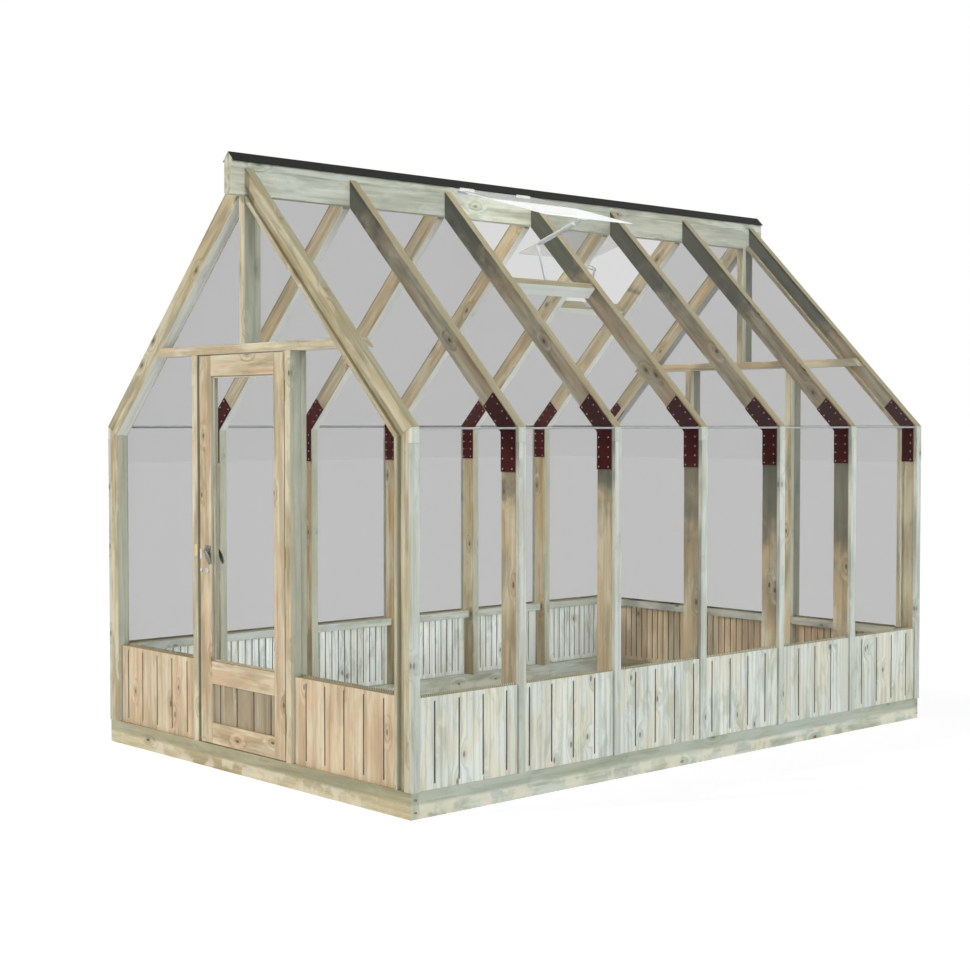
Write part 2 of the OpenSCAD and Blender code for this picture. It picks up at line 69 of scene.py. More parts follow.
def tone(red, green, blue):
    """Scene-linear colour of an 8-bit display colour."""
    def one(v):
        v = v / 255
        return v / 12.92 if v <= 0.04045 else ((v + 0.055) / 1.055) ** 2.4
    return (one(red), one(green), one(blue))


# ---------------------------------------------------------------- the frame

def corners(mesh):
    """The corner positions of a mesh as an array."""
    co = np.empty(len(mesh.vertices) * 3)
    mesh.vertices.foreach_get("co", co)
    return co.reshape(-1, 3)


def merged_parts(mesh, gap=2e-5):
    """Corner positions and a part number for each corner of a mesh, with corners
    that lie together taken as one. A part number spreads along edges: each pass
    gives both ends of an edge the lower of their numbers, until none changes."""
    co = corners(mesh)
    spots = np.round(co / gap).astype(np.int64)
    _, same = np.unique(spots, axis=0, return_inverse=True)
    same = same.ravel()
    ends = np.empty(len(mesh.edges) * 2, np.int64)
    mesh.edges.foreach_get("vertices", ends)
    a, b = same[ends[0::2]], same[ends[1::2]]
    label = np.arange(same.max() + 1)
    while True:
        lower = np.minimum(label[a], label[b])
        new = label.copy()
        np.minimum.at(new, a, lower)
        np.minimum.at(new, b, lower)
        new = new[new]
        if (new == label).all():
            break
        label = new
    _, part = np.unique(label[same], return_inverse=True)
    return co, part.ravel()


def solids(node):
    """Lowest and highest corner of each separate solid of a CAD node."""
    co, part = merged_parts(frame["nodes"][node].data)
    return [(co[part == k].min(0), co[part == k].max(0)) for k in range(part.max() + 1)]


def low(node):
    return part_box(node)[0]


def high(node):
    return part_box(node)[1]


def side_of(a, b):
    """1 for a solid right of the middle, -1 for one left of it."""
    return 1 if a[0] + b[0] > 0 else -1


def thin_axis(a, b):
    """0 or 1, for the level axis along which a box is thinner."""
    return 0 if b[0] - a[0] < b[1] - a[1] else 1


HALF_W = high("right_cover_strips").x
FRONT_Y = low("base_ends").y
BACK_Y = high("base_ends").y
APEX_Z = high("eave_blocks").z + HALF_W
PANEL_Z = high("right_wall_boards").z
SLOPE = math.radians(45)


# ---------------------------------------------------------------- mesh tools

def new_piece(name, shape, body, material, smooth=False):
    """A mesh object at the origin, its faces turned outwards, riding on a body."""
    verts, faces = shape
    mesh = bpy.data.meshes.new(name)
    mesh.from_pydata(np.asarray(verts, float).tolist(), [], [list(f) for f in faces])
    bm = bmesh.new()
    bm.from_mesh(mesh)
    bmesh.ops.recalc_face_normals(bm, faces=bm.faces)
    bm.to_mesh(mesh)
    bm.free()
    if smooth:
        mesh.polygons.foreach_set("use_smooth", np.ones(len(mesh.polygons), bool))
    return put_in(name, mesh, body, material)


def put_in(name, mesh, body, material):
    """Adds a mesh to the scene under a name, on its body and in its slot."""
    mesh.materials.clear()
    mesh.materials.append(material)
    obj = bpy.data.objects.new(name, mesh)
    bpy.context.scene.collection.objects.link(obj)
    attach(obj, body)
    return obj


def grid_faces(rows, cols, wrap=False):
    """Corner numbers of the quads of a rows x cols grid; with wrap, the last
    column joins the first."""
    r = np.arange(rows - 1)[:, None]
    c = np.arange(cols if wrap else cols - 1)[None, :]
    n = (c + 1) % cols
    quads = np.stack([r * cols + c, r * cols + n, (r + 1) * cols + n, (r + 1) * cols + c], -1)
    return quads.reshape(-1, 4)


def slab(front, back):
    """A closed slab from two grids of the same shape, rows x cols x 3: the front
    grid, the back grid, and a strip of quads round their shared outline."""
    rows, cols, _ = front.shape
    size = rows * cols
    idx = np.arange(size).reshape(rows, cols)
    rim = np.concatenate([idx[0, :-1], idx[:-1, -1], idx[-1, :0:-1], idx[:0:-1, 0]])
    nxt = np.roll(rim, -1)
    edge = np.stack([rim, nxt, nxt + size, rim + size], -1)
    verts = np.concatenate([front.reshape(-1, 3), back.reshape(-1, 3)])
    grid = grid_faces(rows, cols)
    return verts, np.concatenate([grid, grid[:, ::-1] + size, edge])


def tube(rings):
    """A closed tube through rings of corners, rows x n x 3, its ends the first
    and the last ring."""
    rows, n, _ = rings.shape
    last = (rows - 1) * n
    ends = [list(range(n)), list(range(last, last + n))]
    return rings.reshape(-1, 3), grid_faces(rows, n, wrap=True).tolist() + ends


def extruded(outline, y0, y1):
    """A closed (x, z) outline drawn out from y0 to y1."""
    return tube(np.array([[(x, y, z) for x, z in outline] for y in (y0, y1)]))


def turned(profile, sides):
    """Surface of revolution: each (radius, height) of the profile is carried
    round the axis, x = r cos a, y = r sin a, z = height. The first and last
    radius are 0, so both ends close in a point."""
    profile = np.asarray(profile, float)
    a = np.arange(sides) * 2 * math.pi / sides
    r, h = profile[1:-1, 0:1], profile[1:-1, 1:2]
    rings = np.stack([r * np.cos(a), r * np.sin(a), h + 0 * a], -1)
    tips = [[0, 0, profile[0, 1]], [0, 0, profile[-1, 1]]]
    verts = np.concatenate([rings.reshape(-1, 3), tips])
    faces = grid_faces(len(profile) - 2, sides, wrap=True).tolist()
    last = (len(profile) - 3) * sides
    for first, tip in ((0, len(verts) - 2), (last, len(verts) - 1)):
        faces += [[first + i, first + (i + 1) % sides, tip] for i in range(sides)]
    return verts, faces


def carried(outlines, path, up):
    """Closed outlines, one for each point of a path: the first coordinate of an
    outline runs along side = up x ahead and its second square to both."""
    ahead = np.gradient(path, axis=0)
    ahead /= np.linalg.norm(ahead, axis=1)[:, None]
    side = np.cross(np.broadcast_to(np.asarray(up, float), path.shape), ahead)
    side /= np.linalg.norm(side, axis=1)[:, None]
    square = np.cross(ahead, side)
    return tube(path[:, None] + outlines[..., 0:1] * side[:, None]
                + outlines[..., 1:2] * square[:, None])


def rounded_outline(count, power):
    """Outline of count points on a rounded square, |x|^p + |y|^p = 1."""
    t = np.arange(count) * 2 * math.pi / count
    c, s = np.cos(t), np.sin(t)
    k = (np.abs(c) ** power + np.abs(s) ** power) ** (-1 / power)
    return np.stack([c * k, s * k], -1)


def placed(shape, at, out, along=UP):
    """Copies of a shape, one at each point, its z along out and its y as near
    to along as it can be."""
    verts, faces = shape
    at = np.atleast_2d(np.asarray(at, float))
    out = np.broadcast_to(np.asarray(out, float), at.shape)
    z = out / np.linalg.norm(out, axis=1)[:, None]
    y = np.broadcast_to(np.asarray(along, float), at.shape)
    x = np.cross(y, z)
    x /= np.linalg.norm(x, axis=1)[:, None]
    y = np.cross(z, x)
    turn = np.stack([x, y, z], 1)
    every = np.einsum("vk,nkj->nvj", verts, turn) + at[:, None]
    n = len(verts)
    copies = [[c + k * n for c in f] for k in range(len(at)) for f in faces]
    return every.reshape(-1, 3), copies


def joined(*shapes):
    """Several (verts, faces) shapes as one."""
    verts, faces, n = [], [], 0
    for v, f in shapes:
        verts.append(np.asarray(v, float))
        faces += [[int(c) + n for c in face] for face in f]
        n += len(v)
    return np.concatenate(verts), faces


def eased_box(low_corner, high_corner, ease):
    """A box whose edges along its longest side are cut off by ease: an outline
    of eight corners from one end to the other, drawn in by ease at both ends."""
    a, b = np.asarray(low_corner, float), np.asarray(high_corner, float)
    size, mid = b - a, (a + b) / 2
    k = int(np.argmax(size))
    i, j = (k + 1) % 3, (k + 2) % 3
    steps = np.array([0, ease, size[k] - ease, size[k]]) - size[k] / 2
    shrink = np.array([ease, 0, 0, ease])
    hi, hj = size[i] / 2, size[j] / 2
    q = np.array([[hi, hj - ease], [hi - ease, hj], [-hi + ease, hj], [-hi, hj - ease],
                  [-hi, -hj + ease], [-hi + ease, -hj], [hi - ease, -hj], [hi, -hj + ease]])
    pts = np.zeros((4, 8, 3))
    pts[..., i] = q[:, 0] * (1 - shrink / hi)[:, None]
    pts[..., j] = q[:, 1] * (1 - shrink / hj)[:, None]
    pts[..., k] = steps[:, None]
    verts, faces = tube(pts)
    return verts + mid, faces


def box_at(at, low_mm, high_mm, ease_mm):
    """An eased box from two corners in millimetres, counted from a point."""
    return eased_box(at + mm(low_mm), at + mm(high_mm), ease_mm * MM)


def tilted(shape, at, tilt):
    """A shape turned about the line along the building, from x towards -z, and
    moved to a point."""
    verts, faces = shape
    c, s = math.cos(tilt), math.sin(tilt)
    x, y, z = np.transpose(verts)
    return np.stack([at[0] + c * x + s * z, at[1] + y, at[2] - s * x + c * z], -1), faces


def on_side(shape, side):
    """A shape as it is on the right, or mirrored for the left."""
    return shape[0] * (side, 1, 1), shape[1]


def screw_head(radius, rise, sides=10):
    """A pan-head screw: a turned dome with a round recess for the bit."""
    shares = ((0, -0.4), (1, -0.4), (1, 0), (0.94, 0.5), (0.70, 0.86), (0.40, 0.96),
              (0.34, 0.35), (0, 0.35))
    return turned([(radius * MM * r, rise * MM * h) for r, h in shares], sides)


def outward(points, rise=0):
    """Directions away from the middle of the building, one for each point."""
    return [(np.sign(p[0]), 0, rise) for p in points]


def add_screws(name, head, at, out, material, along=UP):
    """Copies of a screw head on the building, as one piece."""
    new_piece(name, placed(head, at, out, along), "building", material, smooth=True)


# ---------------------------------------------------------------- node tools

class Wire:
    """A value in a shader tree that sums and products can be written with."""

    def __init__(self, node, key=0):
        self.socket, self.tree = node.outputs[key], node.id_data

    def __add__(self, other):
        return maths(self.tree, "ADD", self, other)

    def __sub__(self, other):
        return maths(self.tree, "SUBTRACT", self, other)

    def __rsub__(self, other):
        return maths(self.tree, "SUBTRACT", other, self)

    def __mul__(self, other):
        return maths(self.tree, "MULTIPLY", self, other)

    def __abs__(self):
        return maths(self.tree, "ABSOLUTE", self)


def feed(tree, socket, value):
    """Links a wire to a socket, or sets the socket's own value."""
    if isinstance(value, Wire):
        tree.links.new(value.socket, socket)
    elif socket.type == "RGBA":
        socket.default_value = (*value[:3], 1)
    else:
        socket.default_value = value


def add(tree, kind, inputs=None, **props):
    """A shader node with its properties set and its inputs fed."""
    node = tree.nodes.new("ShaderNode" + kind)
    for key, value in props.items():
        setattr(node, key, value)
    for key, value in (inputs or {}).items():
        feed(tree, node.inputs[key], value)
    return node


def wire(tree, kind, inputs=None, key=0, **props):
    """One output of a new shader node."""
    return Wire(add(tree, kind, inputs, **props), key)


def wires(tree, kind, inputs=None, **props):
    """Every output of a new shader node, by name."""
    node = add(tree, kind, inputs, **props)
    return {socket.name: Wire(node, socket.name) for socket in node.outputs}


def maths(tree, operation, *values):
    return wire(tree, "Math", dict(enumerate(values)), operation=operation)


def stretch(vector, scale):
    return wire(vector.tree, "VectorMath", {0: vector, 1: scale}, operation="MULTIPLY")


def mix(share, a, b, blend="MIX"):
    """Colour mix of a and b. At least one of the three is a wire."""
    tree = next(v.tree for v in (share, a, b) if isinstance(v, Wire))
    return wire(tree, "Mix", {0: share, 6: a, 7: b}, 2, data_type="RGBA", blend_type=blend,
                clamp_factor=True)


def layered(colour, *layers):
    """A colour with other colours laid over it, each given with its share."""
    for share, over in layers:
        colour = mix(share, colour, over)
    return colour


def ramp(value, start, stop):
    """0 below start, 1 above stop, smooth between."""
    return wire(value.tree, "MapRange", {0: value, 1: start, 2: stop, 3: 0.0, 4: 1.0},
                interpolation_type="SMOOTHSTEP")


def noise(vector, scale=1.0, detail=3.0, roughness=0.6, distortion=0.0):
    return wire(vector.tree, "TexNoise", {
        "Vector": vector, "Scale": scale, "Detail": detail, "Roughness": roughness,
        "Distortion": distortion}, "Fac")


def parts_of(vector):
    """The three numbers of a vector."""
    return wires(vector.tree, "SeparateXYZ", {0: vector}).values()


def new_group(name, colours, numbers):
    """A shader node group that takes a vector, colours and numbers."""
    group = bpy.data.node_groups.new(name, "ShaderNodeTree")
    kinds = {"Vector": "Vector", **dict.fromkeys(colours, "Color"),
             **dict.fromkeys(numbers, "Float")}
    for label, kind in kinds.items():
        group.interface.new_socket(name=label, in_out="INPUT", socket_type="NodeSocket" + kind)
    enter = group.nodes.new("NodeGroupInput")
    return group, {label: Wire(enter, label) for label in kinds}


def close_group(group, **results):
    """Gives a group what comes out of it: Color, and numbers by their names."""
    for label in results:
        kind = "Color" if label == "Color" else "Float"
        group.interface.new_socket(name=label, in_out="OUTPUT", socket_type="NodeSocket" + kind)
    leave = group.nodes.new("NodeGroupOutput")
    for label, value in results.items():
        feed(group, leave.inputs[label], value)
    return group


def once(build):
    """Builds a node group when it is first asked for, and gives it again later."""
    name = build.__name__.replace("_", " ")
    return lambda: bpy.data.node_groups.get(name) or build(name)


@once
def timber_grain(name):
    """Grain of planed softwood. x of the vector runs along the member. Growth
    rings are a wave across the member whose phase wanders slowly along it,
    fibres are noise drawn out along it, knots are cells of a stretched Voronoi
    pattern, and slow noise moves the colour between the two tints."""
    g, i = new_group(name, ("Light", "Warm", "Dark", "Stain"), ("Member", "Figure", "Knots"))
    vector, figure, knots, dark = i["Vector"], i["Figure"], i["Knots"], i["Dark"]
    along, across, through = parts_of(vector)
    flat = wire(g, "CombineXYZ", {0: along * 2.3, 1: (across + through) * 4.6, 2: 0.0})
    fibre = noise(stretch(vector, (2.2, 120.0, 120.0)))
    cell = wire(g, "TexVoronoi", {"Vector": flat, "Scale": 1.0, "Randomness": 1.0}, "Distance",
                voronoi_dimensions="2D", feature="F1")
    core = 1.0 - ramp(cell + (fibre - 0.5) * 0.03, 0.018, 0.048)
    halo = 1.0 - ramp(cell, 0.03, 0.22)
    push = wire(g, "CombineXYZ", {0: 0.0, 1: halo * 0.045, 2: 0.0})
    bent = wire(g, "VectorMath", {0: vector, 1: push}, operation="ADD")
    wave = wire(g, "TexWave", {
        "Vector": stretch(bent, (0.16, 1.0, 1.0)), "Scale": 9.0, "Distortion": 9.0,
        "Detail": 3.0, "Detail Scale": 0.7, "Detail Roughness": 0.6}, "Fac",
        wave_type="BANDS", bands_direction="Y", wave_profile="SIN")
    rings = ramp(wave, 0.55, 1.0)
    streak = noise(stretch(bent, (1.6, 34.0, 34.0)))
    patch = noise(stretch(vector, (2.2, 7.0, 7.0)), detail=4.0)
    stain = noise(stretch(vector, (4.5, 15.0, 15.0)), detail=4.0, roughness=0.65, distortion=0.6)
    colour = layered(
        mix(ramp(patch, 0.44, 0.56), i["Light"], i["Warm"]),
        (ramp(stain, 0.49, 0.64) * figure * 0.48, i["Stain"]),
        (rings * figure * 0.32, dark),
        (ramp(streak, 0.50, 0.74) * figure * 0.55, dark),
        (ramp(streak, 0.47, 0.30) * figure * 0.50, tone(226, 222, 204)),
        (ramp(halo, 0.35, 1.0) * knots * 0.30, dark),
        (core * knots * 0.85, tone(80, 66, 48)))
    shade = (fibre - 0.5) * 0.16 + (i["Member"] * 0.055 + 1.0)
    gray = wire(g, "CombineColor", {0: shade, 1: shade, 2: shade})
    return close_group(g, Color=mix(1.0, colour, gray, "MULTIPLY"), Roughness=fibre * 0.22 + 0.62,
                       Height=fibre * 0.6 + rings * -0.4)


@once
def weathering(name):
    """What weather does to timber outdoors, with painted light and shade: faces
    that look up turn darker and the part near the ground is damp. Faces that look
    sideways get a green-grey painted shade, undersides a pale painted light from
    below, and the joints a dark painted shade. A painted shadow of the ridge beam
    and the rafters darkens faces towards the door gable above a height that leans
    along the building, and Band gives a base beam a dark upper and a clouded lower
    part. The edges of all of these wander with noise."""
    g, i = new_group(name, ("Color", "Aged"), (
        "Up", "Side", "Front", "Joint", "Topside", "Damp", "Painted side light", "Painted shade", "Painted shade from", "Lean",
        "Band"))
    slow = noise(i["Vector"], 7.0, 4.0)
    drift = (slow - 0.5) * 0.5
    across, along, height = parts_of(i["Vector"])
    top = ramp(i["Up"] + drift * 0.4, 0.30, 0.62)
    under = ramp(i["Up"] * -1.0, 0.30, 0.62)
    sideways = ramp(abs(i["Side"]) + drift * 0.2, 0.76, 0.92)
    wet = 1.0 - ramp(height + drift * 0.25, 0.0, 0.16)
    upper = ramp(height + drift * 0.07, 0.054, 0.074)
    outward = ramp(i["Side"] * across + i["Front"] * along, 0.5, 1.0)
    cloud = ramp(slow, 0.46, 0.58)
    # painted shadow of the ridge beam and the rafters: faces towards the door gable, above a leaning
    # height
    level = height + along * i["Lean"] + drift * 1.8
    painted_shadow_mask = ramp(level - i["Painted shade from"], 0.0, 0.4) * ramp(i["Front"] * -1.0, 0.5, 0.8)
    return close_group(g, Color=layered(
        i["Color"],
        (top * i["Topside"], i["Aged"]),
        (wet * i["Damp"], i["Aged"]),
        # painted light: sideways faces take a green-grey painted shade, undersides a pale painted light
        # from below
        (sideways * i["Painted side light"], tone(172, 179, 164)),
        (under * i["Painted side light"], tone(236, 242, 242)),
        (upper * outward * i["Band"] * 0.44, tone(124, 130, 110)),
        ((1.0 - upper) * cloud * i["Band"] * 0.75, tone(214, 206, 186)),
        # painted shadow on faces towards the door gable
        (painted_shadow_mask * i["Painted shade"], tone(90, 97, 88)),
        # painted shade in the board joints and the seal notches
        (i["Joint"] * 0.9, tone(72, 70, 58))))


@once
def dust_film(name):
    """A thin uneven film: a mask from slow noise, and a roughness that rises
    with it."""
    g, i = new_group(name, ("Color", "Film"), ("Amount", "Roughness"))
    mask = ramp(noise(i["Vector"], 9.0, 5.0, 0.65), 0.40, 0.72) * i["Amount"]
    return close_group(g, Color=mix(mask, i["Color"], i["Film"]),
                       Roughness=i["Roughness"] + mask * 0.5,
                       Height=noise(i["Vector"], 260.0, 2.0, 0.5))


def new_material(name):
    """An empty material and its tree."""
    material = bpy.data.materials.new(name)
    material.use_nodes = True
    material.node_tree.nodes.clear()
    return material, material.node_tree


def own_place(tree):
    """Where a shaded point lies in its piece's own frame."""
    return wire(tree, "TexCoord", key="Object")


def surface(tree, colour, look, strength, depth, gloss, metallic=0.0):
    """Ends a tree in a shader whose roughness and bump come from a group."""
    bump = wire(tree, "Bump", {"Height": look["Height"], "Strength": strength, "Distance": depth})
    add(tree, "OutputMaterial", {0: wire(tree, "BsdfPrincipled", {
        "Base Color": colour, "Metallic": metallic, "Roughness": look["Roughness"],
        "Normal": bump, "Specular IOR Level": gloss})})


def timber_material(name, light=None, warm=None, dark=None, figure=1.0, knots=1.0, aged=None,
                    stain=tone(148, 149, 128), topside=0.6, damp=0.12, painted_side_light=0.6, painted_shade=0.0,
                    painted_shade_from=2.4, lean=0.1, band=0.0):
    """Planed, treated softwood that reads the grain laid on the piece. Colours
    that aren't given come from the settings, and figure is a share of theirs.
    Weather and painted light and shade read the normal in the piece's own frame,
    so that the door keeps its look when it turns."""
    s = bpy.context.scene.greenhouse_timber
    material, t = new_material(name)

    def laid(layer, key):
        return wire(t, "Attribute", key=key, attribute_name=layer)

    normal = wire(t, "VectorTransform", {0: wire(t, "NewGeometry", key="Normal")},
                  vector_type="NORMAL", convert_from="WORLD", convert_to="OBJECT")
    side, front, up = parts_of(normal)
    wood = wires(t, "Group", {
        "Vector": laid("grain", "Vector"), "Member": laid("member", "Fac"),
        "Light": light or s.light, "Warm": warm or s.warm, "Dark": dark or s.dark,
        "Stain": stain, "Figure": figure * s.figure, "Knots": knots}, node_tree=timber_grain())
    weathered_and_painted = wire(t, "Group", {
        "Color": wood["Color"], "Vector": own_place(t), "Up": up, "Side": side, "Front": front,
        "Joint": laid("joint", "Fac"), "Aged": aged or s.aged, "Topside": topside,
        "Damp": damp, "Painted side light": painted_side_light, "Painted shade": painted_shade, "Painted shade from": painted_shade_from, "Lean": lean,
        "Band": band}, node_tree=weathering())
    surface(t, weathered_and_painted, wood, 0.25, 0.8 * MM, 0.35)
    return material


def coated_material(name, colour, film, amount, roughness, metallic=0.0, depth=0.15, gloss=0.5):
    """Painted or bare metal, or rubber, under a thin film of dust. The depth of
    its bump is in millimetres."""
    material, t = new_material(name)
    dust = wires(t, "Group", {"Color": colour, "Vector": own_place(t), "Film": film,
                 "Amount": amount, "Roughness": roughness}, node_tree=dust_film())
    surface(t, dust["Color"], dust, 0.3, depth * MM, gloss, metallic)
    return material


def pane_material(name, tint, ior, haze=0.0, through=1.0):
    """Clear float glass: lamps pass through it, so that it shades what is
    behind it only by its tint. Where through is below 1, the rest of the pane is
    diffuse in its tint: a painted sheen in place of the sky reflected on the glass."""
    material, t = new_material(name)
    glass = wire(t, "BsdfPrincipled", {"Base Color": tint, "Roughness": haze, "IOR": ior,
                 "Transmission Weight": through, "Metallic": 0.0})
    clear = wire(t, "BsdfTransparent", {"Color": tuple(0.75 + 0.25 * c for c in tint)})
    lamp = wire(t, "LightPath", key="Is Shadow Ray")
    add(t, "OutputMaterial", {0: wire(t, "MixShader", {0: lamp, 1: glass, 2: clear})})
    return material


def zinc_steel(context):
    """The zinc-coated steel that all fittings share."""
    name = "zinc-coated steel"
    zinc = context.scene.greenhouse_fittings.zinc
    return bpy.data.materials.get(name) or coated_material(
        name, zinc, tone(168, 164, 150), 0.35, 0.34, metallic=0.55)


# ---------------------------------------------------------------- timber

def lay(mesh, name, values):
    """Stores a number or a vector for every corner."""
    kind, key = ("FLOAT", "value") if values.ndim == 1 else ("FLOAT_VECTOR", "vector")
    mesh.attributes.new(name, kind, "POINT").data.foreach_set(key, values.ravel())


def lay_grain(mesh, seed, run=None, part=None):
    """Gives every corner its place along and across its own member. For each
    separate solid the run is the direction, of X, Y, Z and the two roof slopes,
    with the smallest cross section, and a random shift and shade per solid keep
    neighbours from matching."""
    if part is None:
        co, part = merged_parts(mesh)
    else:
        co = corners(mesh)
    c, s = math.cos(SLOPE), math.sin(SLOPE)
    ways = {"X": (1, 0, 0), "Y": (0, 1, 0), "Z": (0, 0, 1), "R": (c, 0, -s), "L": (c, 0, s)}
    rng = np.random.default_rng(seed)
    count = part.max() + 1
    shift = rng.uniform(0, 40, (count, 3))
    shade = rng.uniform(-1, 1, count)
    grain = np.zeros((len(co), 3))
    for k in range(count):
        own = part == k
        best = None
        for way, d in ways.items():
            d = np.array(d, float)
            a = np.array([0, 1, 0.0]) if way != "Y" else np.array([1, 0, 0.0])
            flat = np.stack([co[own] @ d, co[own] @ a, co[own] @ np.cross(d, a)], -1)
            section = np.ptp(flat[:, 1]) * np.ptp(flat[:, 2])
            if way == run or (not run and (best is None or section < best[0] * 0.98)):
                best = (section, flat)
        grain[own] = best[1] + shift[k]
    lay(mesh, "grain", grain)
    lay(mesh, "member", shade[part])


def planed(node, material, body, edge, seed):
    """The node's own shape with its arrises eased, as planed timber has them:
    a merged copy of the mesh, its flat triangles joined and its sharp edges
    bevelled."""
    mesh = frame["nodes"][node].data.copy()
    mesh.name = node + "_planed"
    bm = bmesh.new()
    bm.from_mesh(mesh)
    bmesh.ops.remove_doubles(bm, verts=bm.verts, dist=2e-5)
    flat = math.radians(0.5)
    bmesh.ops.dissolve_limit(bm, angle_limit=flat, verts=bm.verts, edges=bm.edges)
    sharp = [e for e in bm.edges
             if len(e.link_faces) == 2 and e.calc_face_angle(0) > math.radians(5)]
    bmesh.ops.bevel(bm, geom=sharp, offset=edge, segments=2, profile=0.6, affect="EDGES",
                    clamp_overlap=True)
    bm.to_mesh(mesh)
    bm.free()
    mesh.polygons.foreach_set("use_smooth", np.zeros(len(mesh.polygons), bool))
    lay_grain(mesh, seed)
    obj = put_in(node + "_planed", mesh, body, material)
    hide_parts(node)
    return obj


def board_panel(box_low, box_high, pitch, start, width, depth, margin):
    """One panel of boards. Over (u, z) on its face, the outer surface lies at
    thickness - depth * G(u) * E(z): G is 1 in the middle of a joint and falls to
    0 at half its width, joints lie pitch apart from start, and E fades the
    joints out at the margins below and above. The inner face has a narrower and
    shallower joint at every third of the pitch. Gives the panel's corners and
    faces, and how deep in a joint each corner lies, from 0 to 1."""
    a, b = np.asarray(box_low, float), np.asarray(box_high, float)
    thick_axis = thin_axis(a, b)
    u_axis = 1 - thick_axis
    outward = a[thick_axis] + b[thick_axis] > 0
    thick = b[thick_axis] - a[thick_axis]
    u0, u1, z0, z1 = a[u_axis], b[u_axis], a[2], b[2]

    def joints(step):
        at = np.arange(math.ceil((u0 - start) / step), math.floor((u1 - start) / step) + 1)
        at = start + step * at
        return at[(at > u0 + 3 * width) & (at < u1 - 3 * width)]

    def cut(centres, w):
        if not len(centres):
            return np.zeros_like(us)
        gap = np.abs(us[:, None] - centres[None]).min(1)
        return np.clip((w / 2 - gap) / (0.14 * w), 0, 1)

    outer, inner, inner_share = joints(pitch), joints(pitch / 3), 0.7
    steps = np.array([-0.5, -0.36, 0.0, 0.36, 0.5]) * width
    us = np.unique(np.round(np.concatenate([
        [u0, u1], (outer[:, None] + steps).ravel(),
        (inner[:, None] + steps * inner_share).ravel()]), 6))
    below, above = margin
    fade = 4 * MM
    zs, ends = np.array([z0, z1]), np.ones(2)
    if 0 < below and below + above + 3 * fade <= z1 - z0:
        zs = np.array([z0, z0 + below, z0 + below + fade, z1 - above - fade, z1 - above, z1])
        ends = np.array([0, 0, 1, 1, 0, 0.0])
    grids, joint_shade = [], []
    for centres, w, d, base in ((outer, width, -depth, thick),
                                (inner, width * inner_share, depth * 0.6, 0.0)):
        depth_here = ends[:, None] * cut(centres, w)[None]
        joint_shade.append(depth_here.ravel())
        t = base + d * depth_here
        grid = np.zeros((len(zs), len(us), 3))
        grid[..., u_axis] = us[None]
        grid[..., 2] = zs[:, None]
        grid[..., thick_axis] = (a[thick_axis] + t) if outward else (b[thick_axis] - t)
        grids.append(grid)
    return *slab(*grids), np.concatenate(joint_shade)


# ---------------------------------------------------------------- settings

def number_setting(name, description, default, lowest, highest, **more):
    return bpy.props.FloatProperty(name=name, description=description, default=default,
                                   min=lowest, max=highest, **more)


def colour_setting(name, description, default):
    return bpy.props.FloatVectorProperty(name=name, description=description, default=default,
                                         subtype="COLOR", min=0, max=1)


class TimberSettings(bpy.types.PropertyGroup):
    """Look of the planed timber."""
    ease: number_setting("Eased edge", "Width of the rounding on every arris", 0.0018, 0.0002, 0.006,
                 unit="LENGTH")
    light: colour_setting("Light wood", "Colour of fresh early wood", tone(196, 188, 162))
    warm: colour_setting("Warm wood", "Colour of the warm patches", tone(186, 172, 140))
    dark: colour_setting("Late wood", "Colour of rings, streaks and stains", tone(112, 100, 74))
    # cool wood is a cool, pale copy of the wood: painted cool light of the long sides
    cool: colour_setting("Cool wood", "Colour of the boards on the right side", tone(206, 208, 200))
    aged: colour_setting("Weathered wood", "Colour of faces that look up", tone(164, 152, 118))
    figure: number_setting("Figure", "Strength of rings and streaks", 1.0, 0, 1.5, subtype="FACTOR")


class BoardSettings(bpy.types.PropertyGroup):
    """Joints between the boards of the panels."""
    pitch: number_setting("Board width", "Distance from one joint to the next", 0.146, 0.05, 0.3,
                  unit="LENGTH")
    width: number_setting("Joint width", "Width of the groove at a joint", 0.010, 0.001, 0.02,
                  unit="LENGTH")
    depth: number_setting("Joint depth", "Depth of the groove at a joint", 0.0095, 0.0005, 0.011,
                  unit="LENGTH")


class GlassSettings(bpy.types.PropertyGroup):
    """Panes of the walls, roof, gables, door and vents."""
    tint: colour_setting("Glass tint", "Colour of light that has crossed one pane", (0.70, 0.70, 0.70))
    vent_tint: colour_setting("Vent tint", "Colour of light that has crossed a vent pane",
                      (1.0, 1.0, 0.99))
    vent_haze: number_setting("Vent haze", "How milky the vent panes are", 0.04, 0, 1, subtype="FACTOR")
    notch: number_setting("Seal notch", "Distance from one notch of the glazing seal to the next",
                  0.0125, 0.006, 0.05, unit="LENGTH")
    ior: number_setting("Index", "Index of refraction", 1.07, 1, 2)


class FittingSettings(bpy.types.PropertyGroup):
    """Metal, plates and the ridge sheet."""
    zinc: colour_setting("Zinc", "Colour of zinc-coated steel", tone(200, 205, 210))
    brass: colour_setting("Brass", "Colour of the strike plate", tone(214, 196, 150))
    lever: colour_setting("Lever", "Colour of the door levers", tone(116, 116, 108))
    gusset: colour_setting("Gusset", "Colour of the gusset plates", tone(62, 9, 9))
    sheet: colour_setting("Ridge sheet", "Colour of the sheet over the ridge", tone(22, 23, 18))


